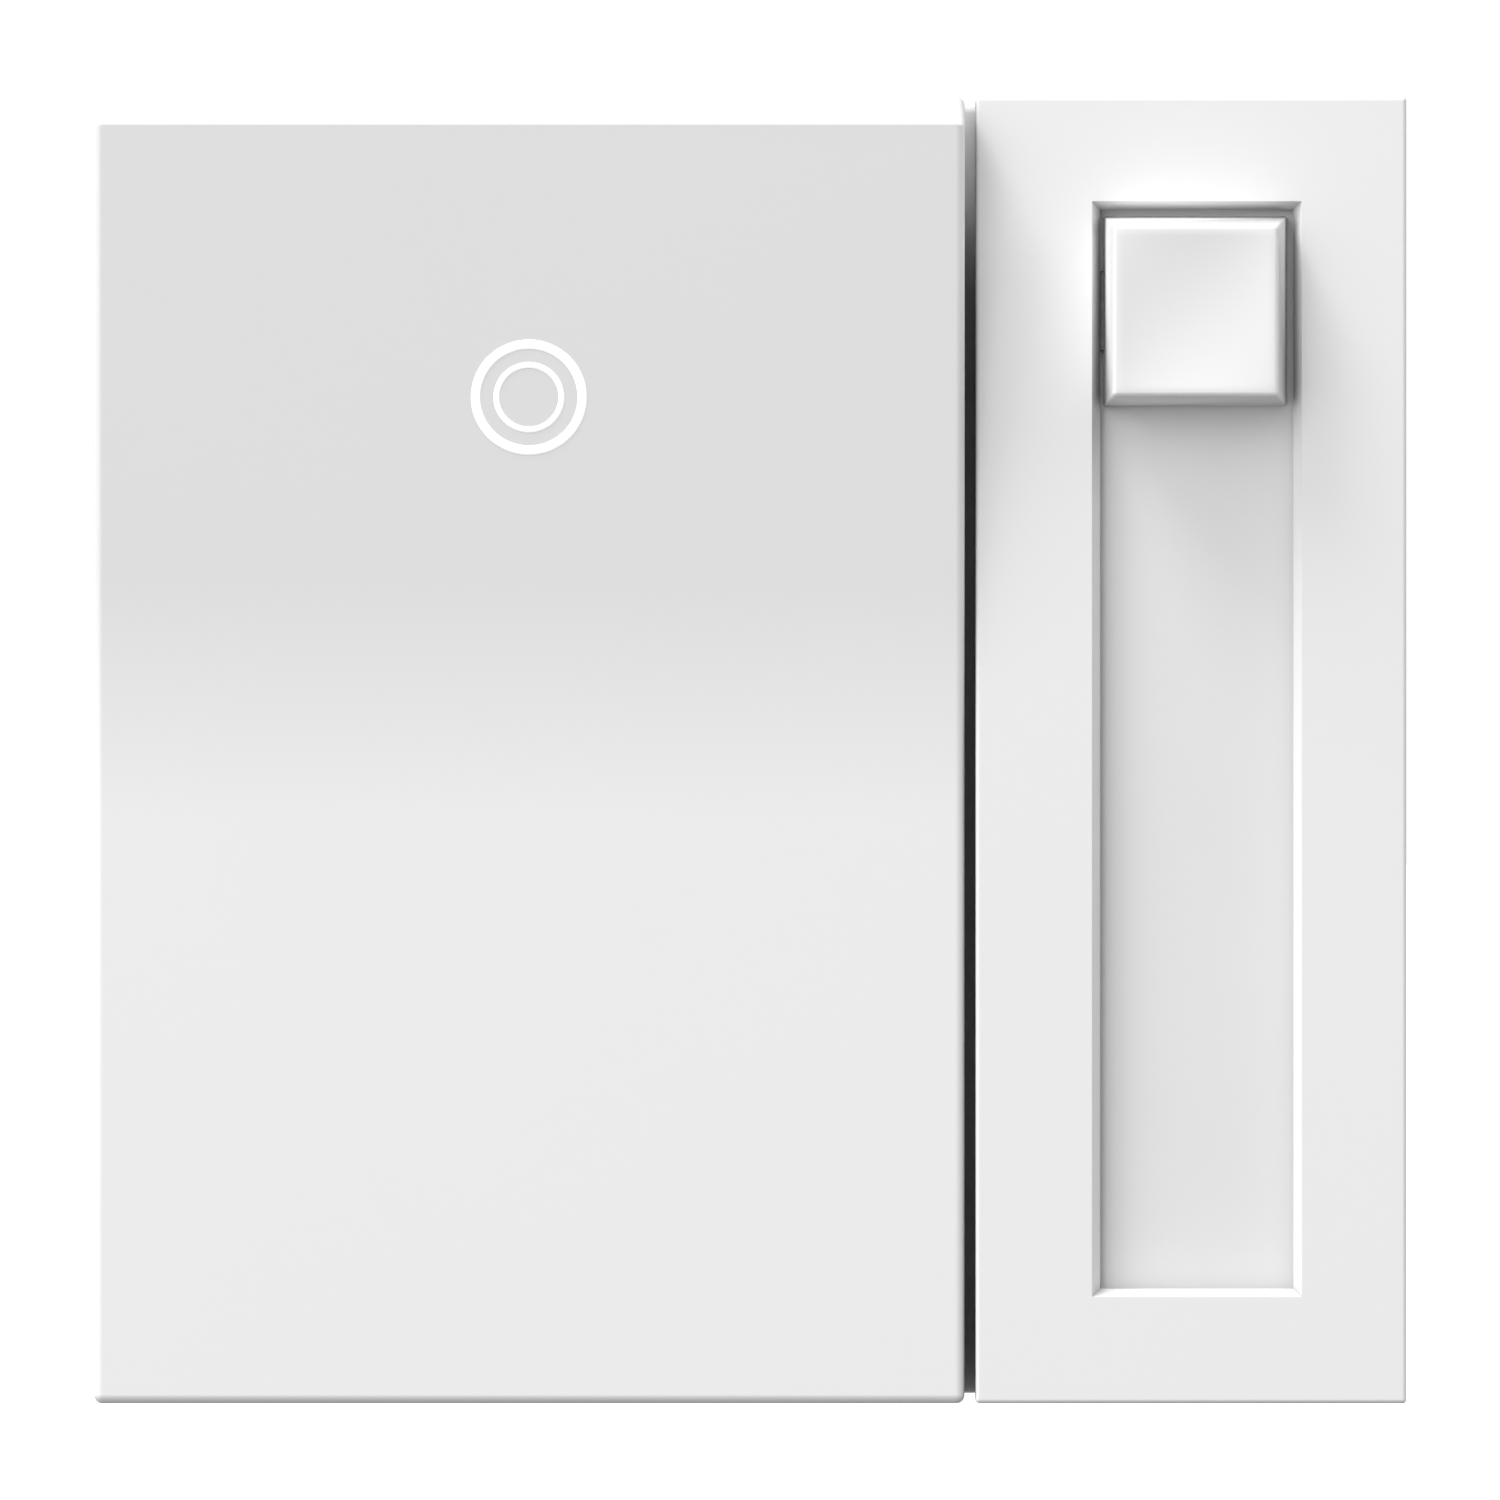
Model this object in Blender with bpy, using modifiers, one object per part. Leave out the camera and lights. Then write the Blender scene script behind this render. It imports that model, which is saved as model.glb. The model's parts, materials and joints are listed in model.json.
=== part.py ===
"""A wall dimmer: a tap paddle two modules wide beside a slider one module wide.

The front of the switch faces -Y, +X is to its right and +Z is up. The origin is the centre of the plane
where the mounting plate sits on the wall frame. Sizes below are in millimetres and turned into metres
where an object is made.
"""

import math

import bmesh
import bpy
from mathutils import Matrix, Vector

MM = 0.001

# --- face -------------------------------------------------------------------------------------------
MODULE = 22.5
FACE_WIDTH = 3 * MODULE
FACE_HEIGHT = 67.2
HALF_WIDTH = FACE_WIDTH / 2
HALF_HEIGHT = FACE_HEIGHT / 2
FACE_Y = -14.0
COLUMN_GAP = 0.57

# --- tap paddle -------------------------------------------------------------------------------------
PADDLE_WIDTH = 2 * MODULE - 0.22
PADDLE_LEFT = -HALF_WIDTH
PADDLE_RIGHT = PADDLE_LEFT + PADDLE_WIDTH
PADDLE_X = (PADDLE_LEFT + PADDLE_RIGHT) / 2
PADDLE_WALL = 1.8
PADDLE_PROUD = 3.8
PADDLE_CREST_Z = 32.2
PADDLE_EDGE_ROUND = 0.45
CREASE_Z = 2.6
CREASE_REACH = 6.0
CREASE_STEPS = 8
SKIRT_BACK_BOTTOM_Y = -6.0
SKIRT_BACK_TOP_Y = -7.8
RAMP_SLOPE = PADDLE_PROUD / (PADDLE_CREST_Z - CREASE_Z)
RAMP_ANGLE = math.atan(RAMP_SLOPE)

PIVOT_Y = -8.6
PIVOT_Z = -29.2
PIVOT_ROD_RADIUS = 0.75
PIVOT_ROD_LENGTH = 34.0
PADDLE_BORE_PLAY = 0.09
CHASSIS_BORE_PLAY = 0.05
PADDLE_EAR_OFFSET = 15.2
CHASSIS_EAR_OFFSET = 12.9
EAR_THICKNESS = 2.0
EAR_HALF_HEIGHT = 1.7

HOOK_OFFSET = 13.0
HOOK_Z = 28.2
HOOK_HALF_WIDTH = 2.5
HOOK_HALF_THICKNESS = 0.6
HOOK_ROOT_Y = -16.2
HOOK_CATCH_Y = -8.5
HOOK_CATCH_REACH = 1.6
HOOK_BACK_Y = -7.4
SPRING_Z = 20.0
SPRING_TURNS = 5
SPRING_RADIUS = 1.8
SPRING_WIRE_RADIUS = 0.2
SPRING_FRONT_Y = -13.6
SPRING_BACK_Y = -7.3
SPRING_PAD_RADIUS = 2.6
SPRING_WELL_RADIUS = 2.5
SPRING_CUP_RADIUS = 3.4
PAD_THICKNESS = 1.4
PLUNGER_Z = 4.0
PLUNGER_FRONT_Y = -11.5
PLUNGER_LENGTH = 5.2
PLUNGER_RADIUS = 1.5
PLUNGER_BOSS_RADIUS = 2.0
PLUNGER_HOLE_RADIUS = 2.1

# --- indicator --------------------------------------------------------------------------------------
ICON_Z = 18.1
RING_DEPTH = 0.40
RING_CLEARANCE = 0.03
RING_PROUD = 0.01
GROOVE_OPENING = 0.5
OUTER_RING_RADII = (2.48, 2.98)
INNER_RING_RADII = (1.50, 1.83)

# --- slider column ----------------------------------------------------------------------------------
BEZEL_LEFT = PADDLE_RIGHT + COLUMN_GAP
BEZEL_RIGHT = HALF_WIDTH
BEZEL_WALL = 1.5
BEZEL_EDGE_ROUND = 0.35
BEZEL_BACK_Y = -5.9
SLOT_LEFT = 18.00
SLOT_RIGHT = 27.95
SLOT_BOTTOM = -27.70
SLOT_TOP = 27.80
SLOT_CHAMFER = 0.42
SLOT_CHAMFER_DEPTH = 0.80
LIP_THICKNESS = 0.85
SLOT_DEPTH = 1.5
SLIDE_GAP = 0.2
FLOOR_THICKNESS = 1.1
FLOOR_LEFT = 17.0
FLOOR_RIGHT = 29.6
FLOOR_HALF_HEIGHT = 29.4

KNOB_WIDTH = 9.46
KNOB_HEIGHT = 9.77
KNOB_PROUD = 2.75
KNOB_TAPER = 0.50
KNOB_EDGE = 0.12
KNOB_DISH = 0.28
KNOB_X = (SLOT_LEFT + SLOT_RIGHT) / 2 - 0.08
KNOB_Z = 22.575

ARM_LEFT = 15.6
ARM_BLADE = 0.8
ARM_TAB_END = 21.2
ARM_HALF_HEIGHT = 2.05
ARM_TAB = 0.25
ARM_PLATE = 0.6
LEVER_HALF_WIDTH = 0.5
LEVER_HALF_HEIGHT = 1.5
LEVER_PLAY = 0.15

FADER_X = 22.0
FADER_WIDTH = 9.0
FADER_LENGTH = 59.2
FADER_FRONT_Y = -9.5
FADER_BACK_Y = -4.0
FADER_WALL = 0.8
FADER_SLOT_HALF_WIDTH = 0.9
FADER_SLOT_HALF_LENGTH = 25.4
TRACK_HALF_WIDTH = 3.6
TRACK_HALF_LENGTH = 28.6
CARRIAGE_REACH_X = 3.1
CARRIAGE_REACH_Z = 3.2
WIPER_HALF_WIDTH = 2.5
WIPER_HALF_HEIGHT = 2.4

# --- body -------------------------------------------------------------------------------------------
SEAT_GAP = 0.3
CHASSIS_HALF_WIDTH = 33.3
CHASSIS_HALF_HEIGHT = 33.15
CHASSIS_FLANGE_Y = -5.6
CHASSIS_SHEET = 1.6
CHASSIS_RIM = 1.5
CHASSIS_BACK_Y = -2.1
PEDESTAL_FRONT_Y = -10.4
PADDLE_BLOCK_LEFT = -31.45
PADDLE_BLOCK_RIGHT = 8.7
PADDLE_BLOCK_BOTTOM = -26.5
PADDLE_BLOCK_TOP = 31.2
SLIDER_BLOCK_LEFT = 13.9
SLIDER_BLOCK_RIGHT = 31.6
SLIDER_BLOCK_FRONT_Y = -10.2
SLIDER_BLOCK_HALF_HEIGHT = 31.4
LUG_LEFT = 19.0
LUG_RIGHT = 26.0
LUG_FRONT_Y = -7.5
LUG_BACK_Y = -6.7
LUG_REACH = 1.1
LUG_PLAY = 0.4
STRIP_REST_LEFT = 27.5
STRIP_REST_RIGHT = 29.5
STRIP_REST_HALF_HEIGHT = 28.0
POST_INNER_X = 27.4
POST_OUTER_X = 32.3
POST_OUTER_X_UNDER_PADDLE = 31.0
POST_HALF_HEIGHT = 2.5
LIGHT_HOLE_RADIUS = 3.2
BOARD_FRONT_Y = -3.7
BOARD_THICKNESS = 1.6
PLATE_FRONT_Y = -1.8
PLATE_BACK_Y = -0.3
PLATE_HALF_WIDTH = 33.0
PLATE_HALF_HEIGHT = 32.9
SEAT_PAD_INNER_X = 8.5
SEAT_PAD_OUTER_X = 32.4
SEAT_PAD_INNER_Z = 29.0
SEAT_PAD_OUTER_Z = 32.4
LINK_WINDOW = (-13.0, -1.0, 20.0, 24.0)
LATCH_WIDTH = 12.0

HOUSING_HALF_WIDTH = 22.0
HOUSING_HALF_HEIGHT = 28.5
HOUSING_DEPTH = 30.0
HOUSING_WALL = 1.6
WING_HALF_WIDTH = 31.8
WING_HALF_HEIGHT = 22.0
WING_THICKNESS = 2.2
SCREW_X = 29.3
SCREW_Z = 17.0
LABEL_HALF_WIDTH = 14.7
LABEL_LOW_Z = -3.7
LABEL_HIGH_Z = 19.7
LABEL_RECESS = 0.4
LABEL_THICKNESS = 0.22

POWER_BOARD_FRONT_Y = 15.6
RIVET_Z = 30.2
TRIAC_X = 12.0
TRIAC_HOLE_Z = 20.5
TERMINAL_PITCH = 9.4
TERMINAL_NAMES = ("line", "load", "neutral", "ground")
TERMINAL_Z = -23.0
TERMINAL_SCREW_Y = 24.2
CLAMP_HALF_WIDTH = 3.1
WIRE_HOLE_RADIUS = 1.7
DRIVER_HOLE_RADIUS = 2.1
VENT_ROWS = 6
VENT_LOW_Z = 4.0
VENT_PITCH = 3.4
VENT_HALF_WIDTH = 0.6
VENT_FRONT_Y = 9.0
VENT_BACK_Y = 24.0
TOP_VENT_PITCH = 4.42

AXIS_TURN = {
    "X": Matrix.Rotation(math.radians(90), 4, "Y"),
    "Y": Matrix.Rotation(math.radians(-90), 4, "X"),
    "Z": Matrix.Identity(4),
}

# --- finishes: colour, roughness, metallic ----------------------------------------------------------
SATIN_WHITE = ((0.84, 0.84, 0.85), 0.32, 0.0)
SLOT_GREY = ((0.76, 0.76, 0.78), 0.45, 0.0)
RING_WHITE = ((0.97, 0.97, 0.98), 0.35, 0.0)
CHASSIS_WHITE = ((0.74, 0.74, 0.75), 0.5, 0.0)
CLEAR_GUIDE = ((0.90, 0.92, 0.94), 0.10, 0.0)
STEEL = ((0.62, 0.63, 0.65), 0.32, 0.95)
ALUMINIUM = ((0.74, 0.75, 0.77), 0.36, 0.95)
BRASS = ((0.76, 0.60, 0.30), 0.30, 0.95)
GREEN_STEEL = ((0.10, 0.42, 0.18), 0.38, 0.6)
HOUSING_GREY = ((0.30, 0.31, 0.33), 0.55, 0.0)
BLACK_PLASTIC = ((0.035, 0.035, 0.04), 0.45, 0.0)
BOARD_GREEN = ((0.05, 0.24, 0.12), 0.45, 0.0)
TRACK_BROWN = ((0.25, 0.16, 0.09), 0.6, 0.0)
LABEL_SILVER = ((0.80, 0.80, 0.81), 0.45, 0.0)
PAD_GREY = ((0.48, 0.50, 0.54), 0.8, 0.0)
FERRITE = ((0.12, 0.12, 0.13), 0.7, 0.0)
COPPER = ((0.72, 0.36, 0.20), 0.35, 0.9)
CAPACITOR_BLUE = ((0.08, 0.16, 0.42), 0.4, 0.0)
FILM_YELLOW = ((0.80, 0.62, 0.14), 0.4, 0.0)
VARISTOR_RED = ((0.50, 0.10, 0.06), 0.45, 0.0)
FUSE_WHITE = ((0.86, 0.85, 0.80), 0.3, 0.0)
RESISTOR_TAN = ((0.70, 0.58, 0.42), 0.5, 0.0)


# --- modelling helpers ------------------------------------------------------------------------------
def clear_scene():
    for found in list(bpy.data.objects):
        bpy.data.objects.remove(found, do_unlink=True)


def new_collection(name):
    group = bpy.data.collections.new(name)
    bpy.context.scene.collection.children.link(group)
    return group


def place_mesh(name, bm, group, location=(0, 0, 0)):
    """An object that holds the mesh, with the mesh's millimetres turned into metres."""
    bmesh.ops.scale(bm, vec=(MM, MM, MM), verts=bm.verts)
    mesh = bpy.data.meshes.new(name)
    bm.to_mesh(mesh)
    bm.free()
    placed = bpy.data.objects.new(name, mesh)
    placed.location = Vector(location) * MM
    group.objects.link(placed)
    return placed


def box(name, low, high, group, rounded=0.0, segments=2, flat_side=None):
    """A box between two corners. The edges around flat_side, such as (1, -1) for low Y, stay square."""
    low = Vector(low)
    high = Vector(high)
    bm = bmesh.new()
    bmesh.ops.create_cube(bm, size=1.0)
    bmesh.ops.scale(bm, vec=high - low, verts=bm.verts)
    if rounded:
        edges = list(bm.edges)
        if flat_side:
            axis, sign = flat_side
            edges = [edge for edge in edges if min(sign * vert.co[axis] for vert in edge.verts) < 0]
        bmesh.ops.bevel(bm, geom=edges, offset=rounded, segments=segments, affect="EDGES", profile=0.5)
    return place_mesh(name, bm, group, (low + high) / 2)


def rod(name, centre, radius, length, axis, group, sides=24, end_radius=None):
    """A cylinder along an axis, or a cone whose far end has its own radius."""
    bm = bmesh.new()
    bmesh.ops.create_cone(
        bm,
        cap_ends=True,
        segments=sides,
        radius1=radius,
        radius2=radius if end_radius is None else end_radius,
        depth=length,
        matrix=AXIS_TURN[axis],
    )
    made = place_mesh(name, bm, group, centre)
    smooth(made)
    return made


def turned(name, profile, centre, axis, group, sides=24):
    """A turned solid: (radius, height) points from one end to the other, spun about the axis by a Screw."""
    bm = bmesh.new()
    points = [bm.verts.new((radius, 0, height)) for radius, height in profile]
    for first, second in zip(points, points[1:]):
        bm.edges.new((first, second))
    closed = profile[0][0] > 0
    if closed:
        bm.edges.new((points[-1], points[0]))
    spun = place_mesh(name, bm, group, centre)
    screw = spun.modifiers.new("turn", "SCREW")
    screw.steps = sides
    screw.render_steps = sides
    screw.use_merge_vertices = True
    screw.merge_threshold = 0.000001
    screw.use_smooth_shade = True
    spun.rotation_euler = AXIS_TURN[axis].to_euler()
    return spun


def extruded(name, points, thickness, centre, group):
    """A flat outline of (y, z) points, thickness wide along X, from a filled 2D curve made into a mesh."""
    curve = bpy.data.curves.new(name, "CURVE")
    curve.dimensions = "2D"
    curve.fill_mode = "BOTH"
    curve.extrude = thickness / 2
    spline = curve.splines.new("POLY")
    spline.points.add(len(points) - 1)
    for point, (y, z) in zip(spline.points, points):
        point.co = (y, z, 0, 1)
    spline.use_cyclic_u = True
    flat = bpy.data.objects.new(name, curve)
    bpy.context.scene.collection.objects.link(flat)
    mesh = bpy.data.meshes.new_from_object(flat.evaluated_get(bpy.context.evaluated_depsgraph_get()))
    bm = bmesh.new()
    bm.from_mesh(mesh)
    bmesh.ops.remove_doubles(bm, verts=bm.verts, dist=0.0001)
    bmesh.ops.dissolve_limit(bm, angle_limit=0.001, verts=bm.verts, edges=bm.edges)
    flat_to_upright = Matrix(((0, 0, 1, 0), (1, 0, 0, 0), (0, 1, 0, 0), (0, 0, 0, 1)))
    bmesh.ops.transform(bm, matrix=flat_to_upright, verts=bm.verts)
    bmesh.ops.recalc_face_normals(bm, faces=bm.faces)
    bpy.data.objects.remove(flat)
    bpy.data.curves.remove(curve)
    bpy.data.meshes.remove(mesh)
    return place_mesh(name, bm, group, centre)


def wire(name, points, radius, group):
    """A bare wire through the points, round in section, with closed ends."""
    curve = bpy.data.curves.new(name, "CURVE")
    curve.dimensions = "3D"
    curve.bevel_depth = radius * MM
    curve.bevel_resolution = 2
    curve.use_fill_caps = True
    spline = curve.splines.new("POLY")
    spline.points.add(len(points) - 1)
    for point, place in zip(spline.points, points):
        point.co = (*(Vector(place) * MM), 1)
    spline.use_smooth = True
    made = bpy.data.objects.new(name, curve)
    group.objects.link(made)
    return made


def smooth(piece, angle=35):
    piece.data.shade_smooth()
    piece.data.set_sharp_from_angle(angle=math.radians(angle))


def soften(piece, width, segments=2, angle=35):
    bevel = piece.modifiers.new("soften", "BEVEL")
    bevel.width = width * MM
    bevel.segments = segments
    bevel.limit_method = "ANGLE"
    bevel.angle_limit = math.radians(angle)


def boolean(piece, tool, operation):
    step = piece.modifiers.new(tool.name, "BOOLEAN")
    step.operation = operation
    step.solver = "EXACT"
    step.object = tool
    tool.hide_render = True
    tool.display_type = "WIRE"


def cut(piece, tool):
    boolean(piece, tool, "DIFFERENCE")


def join(piece, tool):
    boolean(piece, tool, "UNION")


def finish(piece, look):
    """Gives the piece a material of its own."""
    colour, roughness, metallic = look
    material = bpy.data.materials.new(piece.name)
    material.use_nodes = True
    shader = material.node_tree.nodes["Principled BSDF"]
    shader.inputs["Base Color"].default_value = (*colour, 1.0)
    shader.inputs["Roughness"].default_value = roughness
    shader.inputs["Metallic"].default_value = metallic
    piece.data.materials.append(material)
    return piece


def joint_empty(name, location, group):
    empty = bpy.data.objects.new(name, None)
    empty.empty_display_size = 0.01
    empty.location = Vector(location) * MM
    group.objects.link(empty)
    return empty


def ride_on(empty, *pieces):
    """Parents pieces to the empty on their joint's axis, where they stand."""
    for piece in pieces:
        piece.parent = empty
        piece.matrix_parent_inverse = Matrix.Translation(-empty.location)


def circle_points(radius, count):
    angles = [math.tau * i / count for i in range(count)]
    return [(radius * math.cos(angle), radius * math.sin(angle)) for angle in angles]


# --- tap paddle and its indicator -------------------------------------------------------------------
def ramp_y(z, offset=0.0):
    """The paddle's upper facet: where it stands at a height, offset behind its outer surface."""
    return FACE_Y - RAMP_SLOPE * (z - CREASE_Z) + offset / math.cos(RAMP_ANGLE)


def paddle_front(offset, low_z, high_z):
    """The front line of the paddle from bottom to top: a flat, a soft crease and a ramp."""
    start = Vector((FACE_Y + offset, CREASE_Z - CREASE_REACH))
    corner = Vector((FACE_Y + offset, CREASE_Z))
    end = Vector((ramp_y(CREASE_Z + CREASE_REACH, offset), CREASE_Z + CREASE_REACH))
    line = [(FACE_Y + offset, low_z)]
    for i in range(CREASE_STEPS + 1):
        t = i / CREASE_STEPS
        line.append(tuple(start * (1 - t) ** 2 + corner * 2 * t * (1 - t) + end * t**2))
    line.append((ramp_y(high_z, offset), high_z))
    return line


def make_tap_paddle(group, cutters):
    outer = paddle_front(0.0, -HALF_HEIGHT, PADDLE_CREST_Z)
    outer += [(FACE_Y, HALF_HEIGHT), (SKIRT_BACK_TOP_Y, HALF_HEIGHT), (SKIRT_BACK_BOTTOM_Y, -HALF_HEIGHT)]
    paddle = extruded("tap_paddle", outer, PADDLE_WIDTH, (PADDLE_X, 0, 0), group)
    soften(paddle, PADDLE_EDGE_ROUND, segments=3, angle=30)

    open_y = -4.0
    inner_top = HALF_HEIGHT - PADDLE_WALL
    inner = paddle_front(PADDLE_WALL, -HALF_HEIGHT + PADDLE_WALL, PADDLE_CREST_Z - PADDLE_WALL)
    inner += [(FACE_Y + PADDLE_WALL / 2, inner_top), (open_y, inner_top), (open_y, -inner_top)]
    cut(paddle, extruded("paddle_hollow", inner, PADDLE_WIDTH - 2 * PADDLE_WALL, (PADDLE_X, 0, 0), cutters))

    embed = 0.5
    ear_front = FACE_Y + PADDLE_WALL - embed
    for side in (-1, 1):
        x = PADDLE_X + side * PADDLE_EAR_OFFSET
        half = EAR_THICKNESS / 2
        ear = box(
            f"paddle_ear_{side}",
            (x - half, ear_front, PIVOT_Z - EAR_HALF_HEIGHT),
            (x + half, PIVOT_Y + EAR_HALF_HEIGHT, PIVOT_Z + EAR_HALF_HEIGHT),
            cutters,
        )
        join(paddle, ear)
    bore_radius = PIVOT_ROD_RADIUS + PADDLE_BORE_PLAY
    bore = rod("paddle_bore", (PADDLE_X, PIVOT_Y, PIVOT_Z), bore_radius, PIVOT_ROD_LENGTH + 6, "X", cutters)
    cut(paddle, bore)

    for side in (-1, 1):
        x = PADDLE_X + side * HOOK_OFFSET
        arm = box(
            f"hook_arm_{side}",
            (x - HOOK_HALF_WIDTH, HOOK_ROOT_Y, HOOK_Z - HOOK_HALF_THICKNESS),
            (x + HOOK_HALF_WIDTH, HOOK_BACK_Y, HOOK_Z + HOOK_HALF_THICKNESS),
            cutters,
        )
        catch = box(
            f"hook_catch_{side}",
            (x - HOOK_HALF_WIDTH, HOOK_CATCH_Y, HOOK_Z),
            (x + HOOK_HALF_WIDTH, HOOK_BACK_Y, HOOK_Z + HOOK_CATCH_REACH),
            cutters,
        )
        join(paddle, arm)
        join(paddle, catch)
        pad_y = SPRING_FRONT_Y - SEAT_GAP - PAD_THICKNESS / 2
        pad = rod(f"spring_pad_{side}", (x, pad_y, SPRING_Z), SPRING_PAD_RADIUS, PAD_THICKNESS, "Y", cutters)
        join(paddle, pad)
    boss_y = PLUNGER_FRONT_Y - SEAT_GAP - PAD_THICKNESS / 2
    boss_place = (PADDLE_X, boss_y, PLUNGER_Z)
    join(paddle, rod("plunger_boss", boss_place, PLUNGER_BOSS_RADIUS, PAD_THICKNESS, "Y", cutters))

    for index, radii in enumerate((OUTER_RING_RADII, INNER_RING_RADII)):
        groove = icon_ring(f"ring_groove_{index}", radii, RING_DEPTH, GROOVE_OPENING, cutters)
        cut(paddle, groove)
    return finish(paddle, SATIN_WHITE)


def icon_ring(name, radii, depth, above, group):
    """A flat ring that lies on the paddle's ramp, from depth below the surface to above it."""
    inner, outer = radii
    profile = [(inner, above), (outer, above), (outer, -depth), (inner, -depth)]
    ring = turned(name, profile, (PADDLE_X, ramp_y(ICON_Z), ICON_Z), "Y", group, sides=48)
    ring.rotation_euler = Matrix.Rotation(math.radians(90) + RAMP_ANGLE, 4, "X").to_euler()
    return ring


def make_rings(group):
    rings = []
    sizes = {"indicator_outer_ring": OUTER_RING_RADII, "indicator_inner_ring": INNER_RING_RADII}
    for name, (inner, outer) in sizes.items():
        slim = (inner + RING_CLEARANCE, outer - RING_CLEARANCE)
        ring = icon_ring(name, slim, RING_DEPTH - RING_CLEARANCE, RING_PROUD, group)
        rings.append(finish(ring, RING_WHITE))
    return rings


def make_paddle_springs(group):
    springs = []
    per_turn = 10
    ends = (SPRING_BACK_Y - SPRING_WIRE_RADIUS, SPRING_FRONT_Y + SPRING_WIRE_RADIUS)
    count = per_turn * SPRING_TURNS
    for side, name in ((-1, "paddle_spring_left"), (1, "paddle_spring_right")):
        x = PADDLE_X + side * HOOK_OFFSET
        points = []
        for i in range(count + 1):
            angle = math.tau * i / per_turn
            y = ends[0] + (ends[1] - ends[0]) * i / count
            z = SPRING_Z + SPRING_RADIUS * math.sin(angle)
            points.append((x + SPRING_RADIUS * math.cos(angle), y, z))
        springs.append(finish(wire(name, points, SPRING_WIRE_RADIUS, group), STEEL))
    return springs


def make_pivot_rod(group):
    place = (PADDLE_X, PIVOT_Y, PIVOT_Z)
    pin = rod("paddle_pivot_rod", place, PIVOT_ROD_RADIUS, PIVOT_ROD_LENGTH, "X", group)
    return finish(pin, STEEL)


# --- slider column ----------------------------------------------------------------------------------
def make_slider_bezel(group, cutters):
    bezel = box(
        "slider_bezel",
        (BEZEL_LEFT, FACE_Y, -HALF_HEIGHT),
        (BEZEL_RIGHT, BEZEL_BACK_Y, HALF_HEIGHT),
        group,
        rounded=BEZEL_EDGE_ROUND,
        segments=3,
    )
    inner_back = FACE_Y + BEZEL_WALL
    inner_left = BEZEL_LEFT + BEZEL_WALL
    hollow = box(
        "bezel_hollow",
        (inner_left, inner_back, -HALF_HEIGHT + BEZEL_WALL),
        (BEZEL_RIGHT - BEZEL_WALL, BEZEL_BACK_Y + 1, HALF_HEIGHT - BEZEL_WALL),
        cutters,
    )
    cut(bezel, hollow)
    pocket_reach = FLOOR_HALF_HEIGHT + SEAT_GAP
    strip_pocket = box(
        "bezel_strip_pocket",
        (ARM_LEFT - SEAT_GAP, FACE_Y + LIP_THICKNESS, -pocket_reach),
        (FLOOR_RIGHT + SEAT_GAP, inner_back + 0.3, pocket_reach),
        cutters,
    )
    cut(bezel, strip_pocket)
    slot_low = (SLOT_LEFT, FACE_Y - 1, SLOT_BOTTOM)
    slot_high = (SLOT_RIGHT, inner_back + 1, SLOT_TOP)
    cut(bezel, box("bezel_slot", slot_low, slot_high, cutters))
    cut(bezel, slot_chamfer_tool(cutters))
    for side in (-1, 1):
        wall = HALF_HEIGHT - BEZEL_WALL
        low, high = sorted((side * (wall + 0.5), side * (wall - LUG_REACH)))
        lug_name = f"bezel_lug_{side}"
        join(bezel, box(lug_name, (LUG_LEFT, LUG_FRONT_Y, low), (LUG_RIGHT, LUG_BACK_Y, high), cutters))
    return finish(bezel, SATIN_WHITE)


def slot_chamfer_tool(cutters):
    """A block whose sides flare towards the front, to chamfer the slot's mouth."""
    above = 1.0
    low = Vector((SLOT_LEFT, FACE_Y - above, SLOT_BOTTOM))
    high = Vector((SLOT_RIGHT, FACE_Y + SLOT_CHAMFER_DEPTH, SLOT_TOP))
    tool = box("slot_chamfer", low, high, cutters)
    flare = (SLOT_CHAMFER_DEPTH + above) * SLOT_CHAMFER / SLOT_CHAMFER_DEPTH * MM
    for vert in tool.data.vertices:
        if vert.co.y < 0:
            vert.co.x += math.copysign(flare, vert.co.x)
            vert.co.z += math.copysign(flare, vert.co.z)
    return tool


def make_floor_strip(group):
    front = FACE_Y + SLOT_DEPTH
    low = (FLOOR_LEFT, front, -FLOOR_HALF_HEIGHT)
    high = (FLOOR_RIGHT, front + FLOOR_THICKNESS, FLOOR_HALF_HEIGHT)
    return finish(box("slider_floor_strip", low, high, group), SLOT_GREY)


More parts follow.
